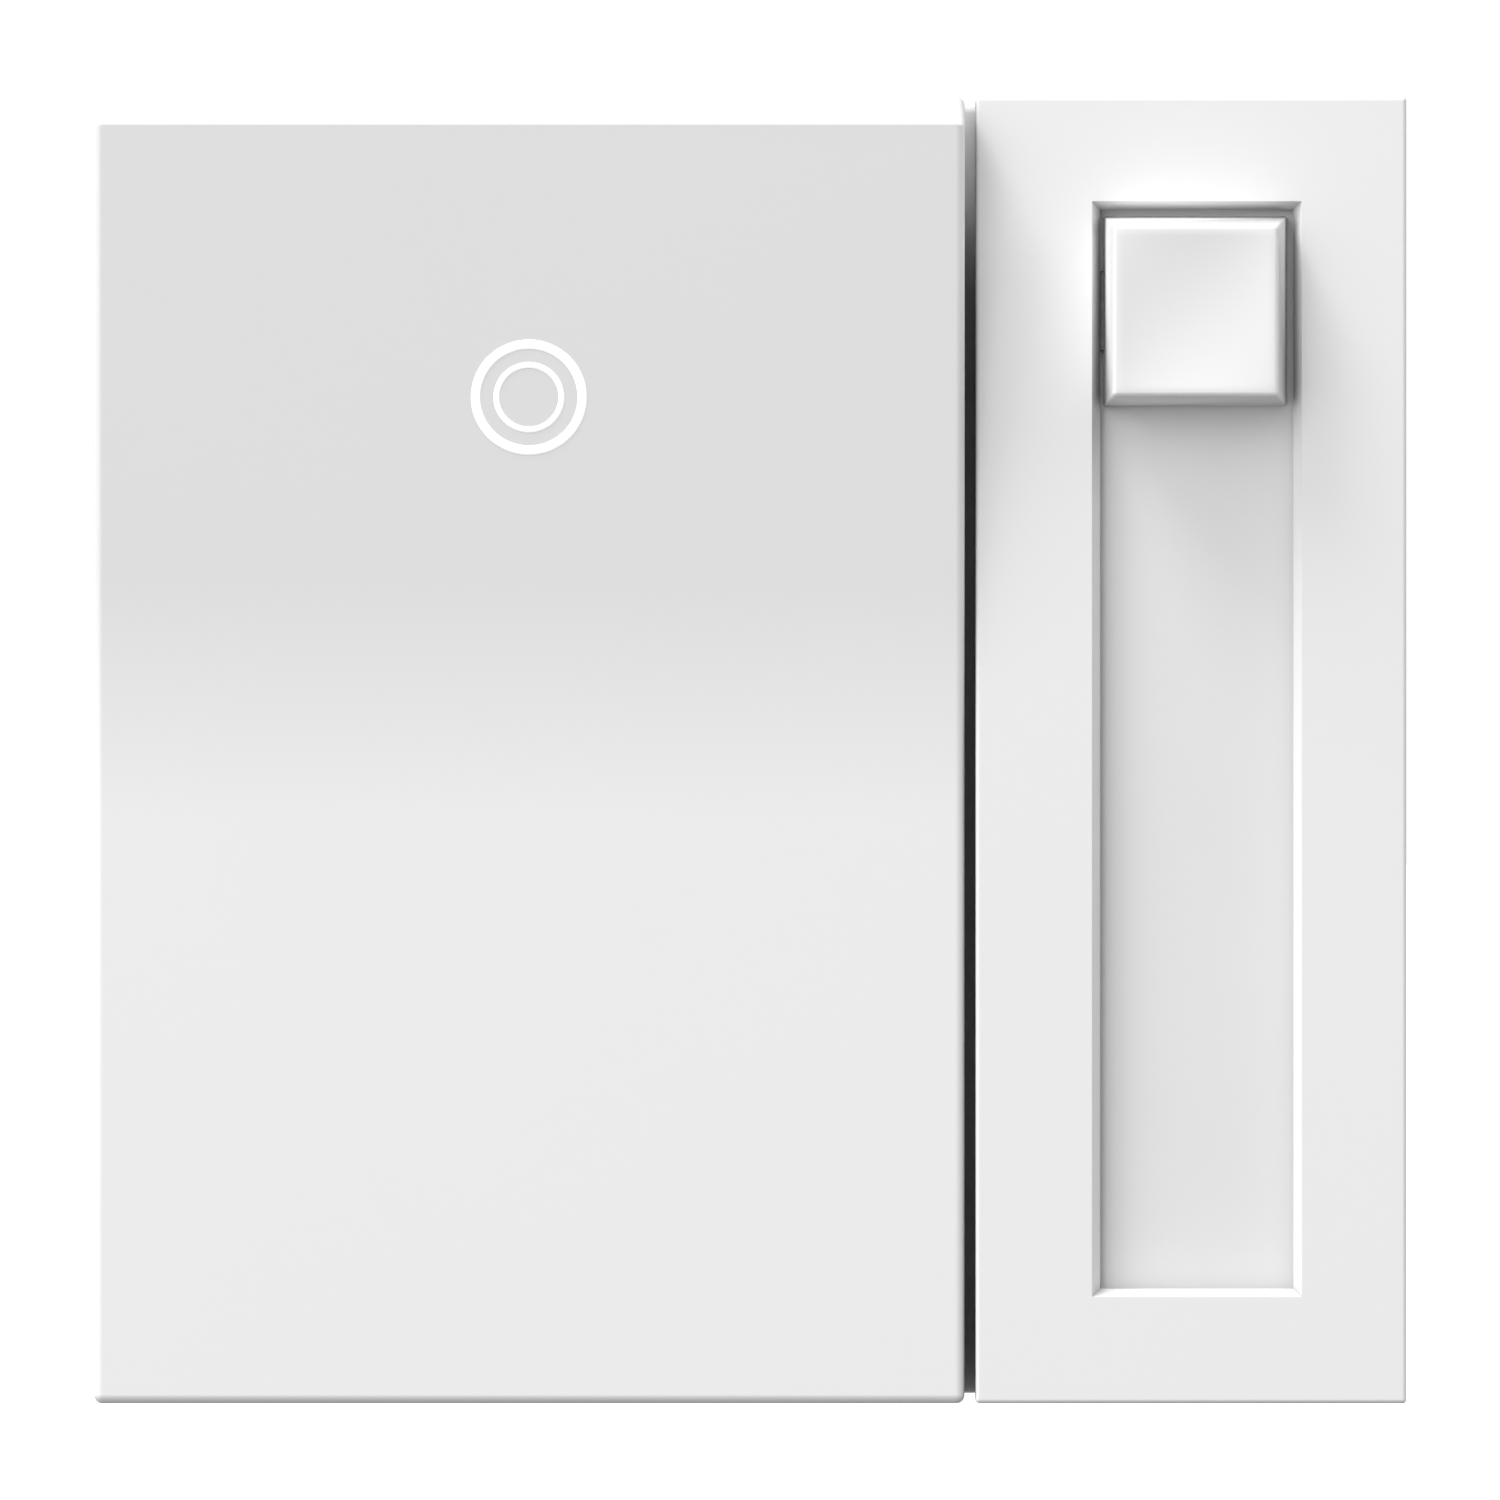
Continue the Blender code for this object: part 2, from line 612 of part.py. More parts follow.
def make_knob(group, cutters):
    """A square key whose sides lean in above the bezel, with a shallow dish for the fingertip."""
    front = FACE_Y - KNOB_PROUD
    back = FACE_Y + SLOT_DEPTH - SLIDE_GAP
    middle = (front + back) / 2
    bm = bmesh.new()
    bmesh.ops.create_cube(bm, size=1.0)
    bmesh.ops.scale(bm, vec=(KNOB_WIDTH, back - front, KNOB_HEIGHT), verts=bm.verts)
    everything = bm.verts[:] + bm.edges[:] + bm.faces[:]
    bmesh.ops.bisect_plane(bm, geom=everything, plane_co=(0, FACE_Y - middle, 0), plane_no=(0, 1, 0))
    front_face = min(bm.faces, key=lambda face: face.calc_center_median().y)
    for vert in front_face.verts:
        vert.co.x -= math.copysign(KNOB_TAPER, vert.co.x)
        vert.co.z -= math.copysign(KNOB_TAPER, vert.co.z)
    rim = list(front_face.edges)
    bmesh.ops.bevel(bm, geom=rim, offset=KNOB_EDGE, segments=2, affect="EDGES", profile=0.5)
    front_face = min(bm.faces, key=lambda face: face.calc_center_median().y)
    reach_x = max(vert.co.x for vert in front_face.verts)
    reach_z = max(vert.co.z for vert in front_face.verts)
    bmesh.ops.subdivide_edges(bm, edges=list(front_face.edges), cuts=9, use_grid_fill=True)
    for vert in bm.verts:
        if abs(vert.co.y - front + middle) < 0.0001:
            across = 1 - (vert.co.x / reach_x) ** 2
            along = 1 - (vert.co.z / reach_z) ** 2
            vert.co.y += KNOB_DISH * max(across, 0) * max(along, 0)
    knob = place_mesh("slider_knob", bm, group, (KNOB_X, middle, KNOB_Z))
    smooth(knob)
    fit = 0.06
    notch = box(
        "knob_notch",
        (KNOB_X - KNOB_WIDTH / 2 - 1, back - ARM_TAB - fit, KNOB_Z - ARM_HALF_HEIGHT - fit),
        (ARM_TAB_END + 0.3, back + 1, KNOB_Z + ARM_HALF_HEIGHT + fit),
        cutters,
    )
    cut(knob, notch)
    return finish(knob, SATIN_WHITE)


def make_slider_arm(group, cutters):
    """A bracket from under the knob, round the floor strip's left edge, to the fader's lever."""
    low_z = KNOB_Z - ARM_HALF_HEIGHT
    high_z = KNOB_Z + ARM_HALF_HEIGHT
    tab_back = FACE_Y + SLOT_DEPTH - SLIDE_GAP
    plate_front = FACE_Y + SLOT_DEPTH + FLOOR_THICKNESS + SEAT_GAP
    plate_back = plate_front + ARM_PLATE
    tab_front = tab_back - ARM_TAB
    arm = box("slider_arm", (ARM_LEFT, tab_front, low_z), (ARM_TAB_END, tab_back, high_z), group)
    blade_high = (ARM_LEFT + ARM_BLADE, plate_back, high_z)
    blade = box("arm_blade", (ARM_LEFT, tab_front, low_z), blade_high, cutters)
    plate = box("arm_plate", (ARM_LEFT, plate_front, low_z), (FADER_X + 2.4, plate_back, high_z), cutters)
    join(arm, blade)
    join(arm, plate)
    hole_half_width = LEVER_HALF_WIDTH + LEVER_PLAY
    hole_half_height = LEVER_HALF_HEIGHT + LEVER_PLAY
    lever_hole = box(
        "arm_lever_hole",
        (FADER_X - hole_half_width, plate_front - 0.5, KNOB_Z - hole_half_height),
        (FADER_X + hole_half_width, plate_back + 0.5, KNOB_Z + hole_half_height),
        cutters,
    )
    cut(arm, lever_hole)
    return finish(arm, STEEL)


def fader_box(name, half_width, front, back, half_height, z, group):
    """A box centred across the fader."""
    low = (FADER_X - half_width, front, z - half_height)
    high = (FADER_X + half_width, back, z + half_height)
    return box(name, low, high, group)


def make_fader(group, cutters):
    half_width = FADER_WIDTH / 2
    half_length = FADER_LENGTH / 2
    housing = fader_box("fader_housing", half_width, FADER_FRONT_Y, FADER_BACK_Y, half_length, 0, group)
    inside = fader_box(
        "fader_inside",
        half_width - FADER_WALL,
        FADER_FRONT_Y + FADER_WALL,
        FADER_BACK_Y + 1,
        half_length - FADER_WALL,
        0,
        cutters,
    )
    lever_slot = fader_box(
        "fader_slot",
        FADER_SLOT_HALF_WIDTH,
        FADER_FRONT_Y - 1,
        FADER_FRONT_Y + 2,
        FADER_SLOT_HALF_LENGTH,
        0,
        cutters,
    )
    cut(housing, inside)
    cut(housing, lever_slot)
    finish(housing, STEEL)

    track = fader_box("fader_track", TRACK_HALF_WIDTH, -5.2, -4.6, TRACK_HALF_LENGTH, 0, group)
    finish(track, TRACK_BROWN)

    carriage = fader_box("fader_carriage", CARRIAGE_REACH_X, -8.4, -6.2, CARRIAGE_REACH_Z, KNOB_Z, group)
    lever = fader_box("fader_lever", LEVER_HALF_WIDTH, -10.9, -8.0, LEVER_HALF_HEIGHT, KNOB_Z, cutters)
    join(carriage, lever)
    finish(carriage, BLACK_PLASTIC)

    wiper = fader_box("fader_wiper", WIPER_HALF_WIDTH, -5.9, -5.5, WIPER_HALF_HEIGHT, KNOB_Z, group)
    for offset in (-1.0, 1.0):
        x = FADER_X + offset
        gap = box(f"wiper_gap_{offset}", (x - 0.4, -6.5, KNOB_Z - 3), (x + 0.4, -5, KNOB_Z + 0.9), cutters)
        cut(wiper, gap)
    finish(wiper, BRASS)
    return carriage, wiper


# --- chassis, boards and mounting plate -------------------------------------------------------------
def make_chassis(group, cutters):
    chassis = box(
        "front_chassis",
        (-CHASSIS_HALF_WIDTH, CHASSIS_FLANGE_Y, -CHASSIS_HALF_HEIGHT),
        (CHASSIS_HALF_WIDTH, CHASSIS_BACK_Y, CHASSIS_HALF_HEIGHT),
        group,
        rounded=0.3,
        segments=2,
    )
    tub_half_width = CHASSIS_HALF_WIDTH - CHASSIS_RIM
    tub_half_height = CHASSIS_HALF_HEIGHT - CHASSIS_RIM
    open_back = CHASSIS_BACK_Y + 1
    tub = box(
        "chassis_tub",
        (-tub_half_width, CHASSIS_FLANGE_Y + CHASSIS_SHEET, -tub_half_height),
        (tub_half_width, open_back, tub_half_height),
        cutters,
    )
    cut(chassis, tub)

    block_back = CHASSIS_FLANGE_Y + 0.6
    block_low = Vector((PADDLE_BLOCK_LEFT, PEDESTAL_FRONT_Y, PADDLE_BLOCK_BOTTOM))
    block_high = Vector((PADDLE_BLOCK_RIGHT, block_back, PADDLE_BLOCK_TOP))
    join(chassis, box("paddle_block", block_low, block_high, cutters, rounded=0.4))
    hollow_low = block_low + Vector((CHASSIS_SHEET, CHASSIS_SHEET, CHASSIS_SHEET))
    hollow_high = Vector((block_high.x - CHASSIS_SHEET, open_back, block_high.z - CHASSIS_SHEET))
    cut(chassis, box("paddle_block_hollow", hollow_low, hollow_high, cutters))

    slider_block = box(
        "slider_block",
        (SLIDER_BLOCK_LEFT, SLIDER_BLOCK_FRONT_Y, -SLIDER_BLOCK_HALF_HEIGHT),
        (SLIDER_BLOCK_RIGHT, block_back, SLIDER_BLOCK_HALF_HEIGHT),
        cutters,
        rounded=0.4,
    )
    join(chassis, slider_block)
    rest_front = FACE_Y + SLOT_DEPTH + FLOOR_THICKNESS + SEAT_GAP
    strip_rest = box(
        "strip_rest",
        (STRIP_REST_LEFT, rest_front, -STRIP_REST_HALF_HEIGHT),
        (STRIP_REST_RIGHT, SLIDER_BLOCK_FRONT_Y + 0.6, STRIP_REST_HALF_HEIGHT),
        cutters,
    )
    join(chassis, strip_rest)
    window_half_width = FADER_WIDTH / 2 + 0.6
    window_half_height = FADER_LENGTH / 2 + SEAT_GAP
    fader_window = box(
        "fader_window",
        (FADER_X - window_half_width, SLIDER_BLOCK_FRONT_Y - 2, -window_half_height),
        (FADER_X + window_half_width, open_back, window_half_height),
        cutters,
    )
    cut(chassis, fader_window)
    for side in (-1, 1):
        tip = HALF_HEIGHT - BEZEL_WALL - LUG_REACH
        low, high = sorted((side * (tip - SEAT_GAP), side * (SLIDER_BLOCK_HALF_HEIGHT + 1)))
        recess = box(
            f"lug_recess_{side}",
            (LUG_LEFT - LUG_PLAY, LUG_FRONT_Y - LUG_PLAY, low),
            (LUG_RIGHT + LUG_PLAY, LUG_BACK_Y + LUG_PLAY, high),
            cutters,
        )
        cut(chassis, recess)

    add_chassis_pivots(chassis, cutters)
    add_chassis_guides(chassis, cutters)
    add_screw_posts(chassis, cutters)
    return finish(chassis, CHASSIS_WHITE)


def add_chassis_pivots(chassis, cutters):
    for side in (-1, 1):
        x = PADDLE_X + side * CHASSIS_EAR_OFFSET
        half = EAR_THICKNESS / 2
        ear = box(
            f"chassis_ear_{side}",
            (x - half, PIVOT_Y - EAR_HALF_HEIGHT, PIVOT_Z - EAR_HALF_HEIGHT),
            (x + half, CHASSIS_FLANGE_Y + 0.6, PIVOT_Z + EAR_HALF_HEIGHT),
            cutters,
        )
        join(chassis, ear)
    bore_radius = PIVOT_ROD_RADIUS + CHASSIS_BORE_PLAY
    bore = rod("chassis_bore", (PADDLE_X, PIVOT_Y, PIVOT_Z), bore_radius, PIVOT_ROD_LENGTH + 4, "X", cutters)
    cut(chassis, bore)


def add_chassis_guides(chassis, cutters):
    """Spring cups, hook slots and the openings for the plunger and the light pipe in the paddle's block."""
    sheet_y = PEDESTAL_FRONT_Y + CHASSIS_SHEET / 2
    well_back = SPRING_BACK_Y + SEAT_GAP
    well_front = PEDESTAL_FRONT_Y - 1
    cup_back = well_back + 1.0
    cup_front = PEDESTAL_FRONT_Y + 0.6
    slot_half_width = HOOK_HALF_WIDTH + 0.5
    for side in (-1, 1):
        x = PADDLE_X + side * HOOK_OFFSET
        cup_place = (x, (cup_front + cup_back) / 2, SPRING_Z)
        cup = rod(f"spring_cup_{side}", cup_place, SPRING_CUP_RADIUS, cup_back - cup_front, "Y", cutters)
        join(chassis, cup)
        well_place = (x, (well_front + well_back) / 2, SPRING_Z)
        well_depth = well_back - well_front
        cut(chassis, rod(f"spring_well_{side}", well_place, SPRING_WELL_RADIUS, well_depth, "Y", cutters))
        slot = box(
            f"hook_slot_{side}",
            (x - slot_half_width, PEDESTAL_FRONT_Y - 1, HOOK_Z - 1.0),
            (x + slot_half_width, PEDESTAL_FRONT_Y + CHASSIS_SHEET + 0.2, HOOK_Z + 1.1),
            cutters,
        )
        cut(chassis, slot)
        catch_room = box(
            f"hook_room_{side}",
            (x - slot_half_width, PEDESTAL_FRONT_Y + CHASSIS_SHEET, HOOK_Z - 1.0),
            (x + slot_half_width, CHASSIS_FLANGE_Y, HOOK_Z + HOOK_CATCH_REACH + 0.4),
            cutters,
        )
        cut(chassis, catch_room)
    cut(chassis, rod("plunger_hole", (PADDLE_X, sheet_y, PLUNGER_Z), PLUNGER_HOLE_RADIUS, 4, "Y", cutters))
    cut(chassis, rod("light_hole", (PADDLE_X, sheet_y, ICON_Z), LIGHT_HOLE_RADIUS, 4, "Y", cutters))


def add_screw_posts(chassis, cutters):
    """Four posts that take the screws through the rear housing's wings."""
    for x_side in (-1, 1):
        for z_side in (-1, 1):
            under_paddle = x_side < 0
            outer_x = POST_OUTER_X_UNDER_PADDLE if under_paddle else POST_OUTER_X
            low_x, high_x = sorted((x_side * POST_INNER_X, x_side * outer_x))
            post_front = -9.3 if under_paddle else CHASSIS_FLANGE_Y + 1.0
            z = z_side * SCREW_Z
            post = box(
                f"post_{x_side}_{z_side}",
                (low_x, post_front, z - POST_HALF_HEIGHT),
                (high_x, CHASSIS_BACK_Y, z + POST_HALF_HEIGHT),
                cutters,
            )
            join(chassis, post)
            hole_place = (x_side * SCREW_X, -3.0, z)
            cut(chassis, rod(f"post_hole_{x_side}_{z_side}", hole_place, 1.55, 3.6, "Y", cutters, sides=16))


def make_control_board(group, cutters):
    back = BOARD_FRONT_Y + BOARD_THICKNESS
    half_width = CHASSIS_HALF_WIDTH - 2.1
    half_height = CHASSIS_HALF_HEIGHT - 2.0
    board_low = (-half_width, BOARD_FRONT_Y, -half_height)
    board = box("control_board", board_low, (half_width, back, half_height), group)
    for x_side in (-1, 1):
        for z_side in (-1, 1):
            low_x, high_x = sorted((x_side * 27.0, x_side * 33.0))
            z = z_side * SCREW_Z
            notch_half = POST_HALF_HEIGHT + 0.4
            low = (low_x, -5, z - notch_half)
            high = (high_x, -1, z + notch_half)
            cut(board, box(f"board_notch_{x_side}_{z_side}", low, high, cutters))
    finish(board, BOARD_GREEN)

    chip_front = BOARD_FRONT_Y - SEAT_GAP
    chip = box("control_chip", (-24, -5.2, 4.5), (-17, chip_front, 11.5), group, rounded=0.15, segments=1)
    finish(chip, BLACK_PLASTIC)

    led_low = (PADDLE_X - 1.6, -5.2, ICON_Z - 1.4)
    led = box("indicator_led", led_low, (PADDLE_X + 1.6, chip_front, ICON_Z + 1.4), group)
    join(led, rod("led_lens", (PADDLE_X, -5.4, ICON_Z), 1.1, 1.0, "Y", cutters, sides=16))
    finish(led, RING_WHITE)

    head = [(0, 3.05), (2.9, 3.05), (2.9, -0.75)]
    collar = [(3.8, -0.75), (3.8, -1.55)]
    foot = [(2.6, -1.55), (2.6, -2.95), (0, -2.95)]
    guide = turned("light_pipe", head + collar + foot, (PADDLE_X, -9.25, ICON_Z), "Y", group)
    guide.rotation_euler = Matrix.Rotation(math.radians(90), 4, "X").to_euler()
    finish(guide, CLEAR_GUIDE)


def make_tap_switch(group, cutters):
    half = 3.1
    body = box(
        "tap_switch_body",
        (PADDLE_X - half, -7.6, PLUNGER_Z - half),
        (PADDLE_X + half, BOARD_FRONT_Y - SEAT_GAP, PLUNGER_Z + half),
        group,
    )
    cut(body, rod("switch_well", (PADDLE_X, -7.0, PLUNGER_Z), PLUNGER_RADIUS + 0.3, 3.6, "Y", cutters))
    finish(body, BLACK_PLASTIC)
    half_length = PLUNGER_LENGTH / 2
    tip = [(0, half_length), (PLUNGER_RADIUS - 0.4, half_length), (PLUNGER_RADIUS, half_length - 0.4)]
    stem = [(PLUNGER_RADIUS, -half_length), (0, -half_length)]
    middle = (PADDLE_X, PLUNGER_FRONT_Y + half_length, PLUNGER_Z)
    plunger = turned("tap_switch_plunger", tip + stem, middle, "Y", group, sides=20)
    plunger.rotation_euler = Matrix.Rotation(math.radians(90), 4, "X").to_euler()
    return finish(plunger, RING_WHITE)


def make_mounting_plate(group, cutters):
    plate = box(
        "mounting_plate",
        (-PLATE_HALF_WIDTH, PLATE_FRONT_Y, -PLATE_HALF_HEIGHT),
        (PLATE_HALF_WIDTH, PLATE_BACK_Y, PLATE_HALF_HEIGHT),
        group,
        rounded=0.25,
        segments=2,
    )
    for x_side in (-1, 1):
        for z_side in (-1, 1):
            low_x, high_x = sorted((x_side * SEAT_PAD_INNER_X, x_side * SEAT_PAD_OUTER_X))
            low_z, high_z = sorted((z_side * SEAT_PAD_INNER_Z, z_side * SEAT_PAD_OUTER_Z))
            pad_front = PLATE_BACK_Y - 0.6
            pad = box(f"seat_pad_{x_side}_{z_side}", (low_x, pad_front, low_z), (high_x, 0, high_z), cutters)
            join(plate, pad)
            place = (x_side * SCREW_X, -1, z_side * SCREW_Z)
            cut(plate, rod(f"plate_hole_{x_side}_{z_side}", place, 1.6, 5, "Y", cutters, sides=16))
    for z_side in (-1, 1):
        cut(plate, rod(f"rivet_hole_{z_side}", (0, -1, z_side * RIVET_Z), 1.0, 5, "Y", cutters, sides=16))
    link_left, link_right, link_low, link_high = LINK_WINDOW
    cut(plate, box("link_window", (link_left, -3, link_low), (link_right, 1, link_high), cutters))
    cut(plate, rod("triac_screw_hole", (TRIAC_X, -1, TRIAC_HOLE_Z), 1.6, 5, "Y", cutters, sides=16))
    return finish(plate, ALUMINIUM)


def make_latches(group, cutters):
    """Two spring clips, riveted to the plate, that snap behind the wall frame's rails."""
    foot = [(0.8, 28.9), (0.0, 28.9), (0.0, 32.4)]
    hook = [(2.3, 32.5), (2.6, 33.4), (3.3, 33.4)]
    tip = [(8.8, 32.0), (9.0, 31.2), (8.2, 31.2), (3.0, 31.7), (0.8, 31.7)]
    for z_side, name in ((1, "upper"), (-1, "lower")):
        points = [(y, z_side * z) for y, z in foot + hook + tip]
        clip = extruded(f"latch_spring_{name}", points, LATCH_WIDTH, (0, 0, 0), group)
        cut(clip, rod(f"clip_hole_{name}", (0, 0.4, z_side * RIVET_Z), 1.0, 3, "Y", cutters, sides=16))
        finish(clip, STEEL)
        head = [(0, 1.9), (1.0, 1.8), (1.5, 1.1), (0.8, 1.1), (0.8, -1.6), (0, -1.6)]
        rivet = turned(f"latch_rivet_{name}", head, (0, 0, z_side * RIVET_Z), "Y", group, sides=16)
        finish(rivet, ALUMINIUM)


# --- rear housing and its fasteners -----------------------------------------------------------------
def terminal_x(index):
    return (index - (len(TERMINAL_NAMES) - 1) / 2) * TERMINAL_PITCH


def make_rear_housing(group, cutters):
    housing = box(
        "rear_housing",
        (-HOUSING_HALF_WIDTH, 0, -HOUSING_HALF_HEIGHT),
        (HOUSING_HALF_WIDTH, HOUSING_DEPTH, HOUSING_HALF_HEIGHT),
        group,
        rounded=1.6,
        segments=3,
        flat_side=(1, -1),
    )
    wings = box(
        "housing_wings",
        (-WING_HALF_WIDTH, 0, -WING_HALF_HEIGHT),
        (WING_HALF_WIDTH, WING_THICKNESS, WING_HALF_HEIGHT),
        cutters,
        rounded=0.4,
        segments=2,
        flat_side=(1, -1),
    )
    join(housing, wings)
    for index in range(len(TERMINAL_NAMES) + 1):
        x = terminal_x(index - 0.5)
        rib_low = (x - 0.5, HOUSING_DEPTH - 0.8, -26.4)
        rib_high = (x + 0.5, HOUSING_DEPTH + 1, -18.6)
        join(housing, box(f"terminal_rib_{index}", rib_low, rib_high, cutters))
    inside = box(
        "housing_inside",
        (-HOUSING_HALF_WIDTH + HOUSING_WALL, -1, -HOUSING_HALF_HEIGHT + HOUSING_WALL),
        (HOUSING_HALF_WIDTH - HOUSING_WALL, HOUSING_DEPTH - HOUSING_WALL, HOUSING_HALF_HEIGHT - HOUSING_WALL),
        cutters,
    )
    cut(housing, inside)
    label_recess = box(
        "label_recess",
        (-LABEL_HALF_WIDTH - SEAT_GAP, HOUSING_DEPTH - LABEL_RECESS, LABEL_LOW_Z - SEAT_GAP),
        (LABEL_HALF_WIDTH + SEAT_GAP, HOUSING_DEPTH + 1, LABEL_HIGH_Z + SEAT_GAP),
        cutters,
    )
    cut(housing, label_recess)
    cut_terminal_holes(housing, cutters)
    cut_vents(housing, cutters)
    for x_side in (-1, 1):
        for z_side in (-1, 1):
            place = (x_side * SCREW_X, WING_THICKNESS / 2, z_side * SCREW_Z)
            cut(housing, rod(f"wing_hole_{x_side}_{z_side}", place, 1.6, 5, "Y", cutters, sides=16))
    return finish(housing, HOUSING_GREY)


def cut_terminal_holes(housing, cutters):
    """A funnelled wire entry in the back and a screwdriver hole in the lower side for each terminal."""
    for index, name in enumerate(TERMINAL_NAMES):
        x = terminal_x(index)
        mouth = WIRE_HOLE_RADIUS + 1.6
        funnel = [(0, 1.0), (mouth, 1.0), (WIRE_HOLE_RADIUS, -0.6), (WIRE_HOLE_RADIUS, -3.0), (0, -3.0)]
        cut(housing, turned(f"entry_{name}", funnel, (x, HOUSING_DEPTH, TERMINAL_Z), "Y", cutters, sides=20))
        driver_place = (x, TERMINAL_SCREW_Y, -HOUSING_HALF_HEIGHT)
        cut(housing, rod(f"driver_{name}", driver_place, DRIVER_HOLE_RADIUS, 6, "Z", cutters, sides=20))


def cut_vents(housing, cutters):
    for row in range(VENT_ROWS):
        z = VENT_LOW_Z + row * VENT_PITCH
        for side in (-1, 1):
            low_x, high_x = sorted((side * (HOUSING_HALF_WIDTH - 3), side * (HOUSING_HALF_WIDTH + 1)))
            low = (low_x, VENT_FRONT_Y, z - VENT_HALF_WIDTH)
            high = (high_x, VENT_BACK_Y, z + VENT_HALF_WIDTH)
            cut(housing, box(f"side_vent_{side}_{row}", low, high, cutters))
        x = (row - (VENT_ROWS - 1) / 2) * TOP_VENT_PITCH
        low = (x - VENT_HALF_WIDTH, VENT_FRONT_Y, HOUSING_HALF_HEIGHT - 3)
        high = (x + VENT_HALF_WIDTH, VENT_BACK_Y, HOUSING_HALF_HEIGHT + 1)
        cut(housing, box(f"top_vent_{row}", low, high, cutters))


def make_label(group):
    back = HOUSING_DEPTH - 0.1
    low = (-LABEL_HALF_WIDTH, back - LABEL_THICKNESS, LABEL_LOW_Z)
    high = (LABEL_HALF_WIDTH, back, LABEL_HIGH_Z)
    return finish(box("rating_label", low, high, group), LABEL_SILVER)


def slotted_screw(name, place, head, shank, axis_turn, group, cutters):
    """A pan-head screw with its head towards local +Z, and a driver slot across the head.

    head and shank are each a radius and a length.
    """
    head_radius, head_height = head
    shank_radius, shank_length = shank
    edge = 0.4 * head_height
    profile = [
        (0, head_height),
        (head_radius - edge, head_height),
        (head_radius, head_height - edge),
        (head_radius, 0),
        (shank_radius, 0),
        (shank_radius, -shank_length + shank_radius / 2),
        (shank_radius / 2, -shank_length),
        (0, -shank_length),
    ]
    screw = turned(name, profile, place, "Z", group, sides=20)
    screw.rotation_euler = axis_turn.to_euler()
    slot_depth = 0.45 * head_height
    slot_reach = head_radius + 1
    slot = box(f"{name}_slot", (-slot_reach, -0.4, -slot_depth), (slot_reach, 0.4, slot_depth), cutters)
    slot.rotation_euler = axis_turn.to_euler()
    slot.location = (Vector(place) + axis_turn @ Vector((0, 0, head_height))) * MM
    cut(screw, slot)
    return screw


def make_housing_screws(group, cutters):
    names = {(-1, 1): "upper_left", (1, 1): "upper_right", (-1, -1): "lower_left", (1, -1): "lower_right"}
    for (x_side, z_side), name in names.items():
        place = (x_side * SCREW_X, WING_THICKNESS + 0.05, z_side * SCREW_Z)
        turn = AXIS_TURN["Y"]
        screw = slotted_screw(f"housing_screw_{name}", place, (2.4, 1.7), (1.3, 6.5), turn, group, cutters)
        finish(screw, STEEL)


def make_terminals(group, cutters):
    down = Matrix.Rotation(math.radians(180), 4, "X")
    for index, name in enumerate(TERMINAL_NAMES):
        x = terminal_x(index)
        low = (x - CLAMP_HALF_WIDTH, 20.4, -26.4)
        high = (x + CLAMP_HALF_WIDTH, 28.0, -19.6)
        clamp = box(f"terminal_clamp_{name}", low, high, group, rounded=0.3, segments=1)
        wire_hole = WIRE_HOLE_RADIUS + 0.2
        cut(clamp, rod(f"clamp_wire_{name}", (x, 24, TERMINAL_Z), wire_hole, 12, "Y", cutters, sides=20))
        thread_place = (x, TERMINAL_SCREW_Y, -25.5)
        cut(clamp, rod(f"clamp_thread_{name}", thread_place, 1.45, 3.6, "Z", cutters, sides=16))
        leg = box(f"clamp_leg_{name}", (x - 0.4, 17.5, -20.6), (x + 0.4, 21.0, -19.8), cutters)
        join(clamp, leg)
        finish(clamp, BRASS)
        place = (x, TERMINAL_SCREW_Y, -26.7)
        screw = slotted_screw(f"terminal_screw_{name}", place, (1.8, 1.5), (1.15, 2.2), down, group, cutters)
        finish(screw, GREEN_STEEL if name == "ground" else BRASS)


# --- power board ------------------------------------------------------------------------------------
def make_power_board(group, cutters):
    front = POWER_BOARD_FRONT_Y
    back = front + BOARD_THICKNESS
    board = box("power_board", (-19.8, front, -26), (19.8, back, 26), group)
    finish(board, BOARD_GREEN)

    block = box("board_link_header", (-12, 1.0, 20.6), (-2, 4.0, 23.4), group)
    for index in range(4):
        x = -10.5 + index * 7 / 3
        pin_high = (x + 0.32, front - SEAT_GAP, 22.3)
        join(block, box(f"link_pin_{index}", (x - 0.32, -1.8, 21.7), pin_high, cutters))
    finish(block, BLACK_PLASTIC)

    top = [(0, 10.2), (3.2, 10.2), (3.6, 9.9)]
    crimp = [(3.6, 1.2), (3.3, 0.8), (3.6, 0.4), (3.6, 0.0), (0, 0.0)]
    capacitor = turned("electrolytic_capacitor", top + crimp, (-10, back + SEAT_GAP, 10), "Y", group)
    finish(capacitor, CAPACITOR_BLUE)
    varistor = rod("varistor", (6, back + 5.2, 12), 4.6, 3.2, "Z", group, sides=28)
    soften(varistor, 0.8)
    finish(varistor, VARISTOR_RED)

    film = box("film_capacitor", (-18.5, 5.5, -21), (-11, 15.3, -5), group, rounded=0.5)
    finish(film, FILM_YELLOW)
    cap_end = [(0, 7.5), (2.5, 7.5), (2.5, 3.6), (2.3, 3.6)]
    other_end = [(radius, -x) for radius, x in reversed(cap_end)]
    fuse = turned("fuse", cap_end + other_end, (0, 12.5, -20), "X", group, sides=20)
    finish(fuse, FUSE_WHITE)
    bead = [(0, 3.2), (1.0, 3.2), (1.2, 2.8), (1.2, 2.0), (1.0, 1.6)]
    other_bead = [(radius, -x) for radius, x in reversed(bead)]
    resistor = turned("gate_resistor", bead + other_bead, (12, 13.8, -10), "X", group, sides=16)
    finish(resistor, RESISTOR_TAN)


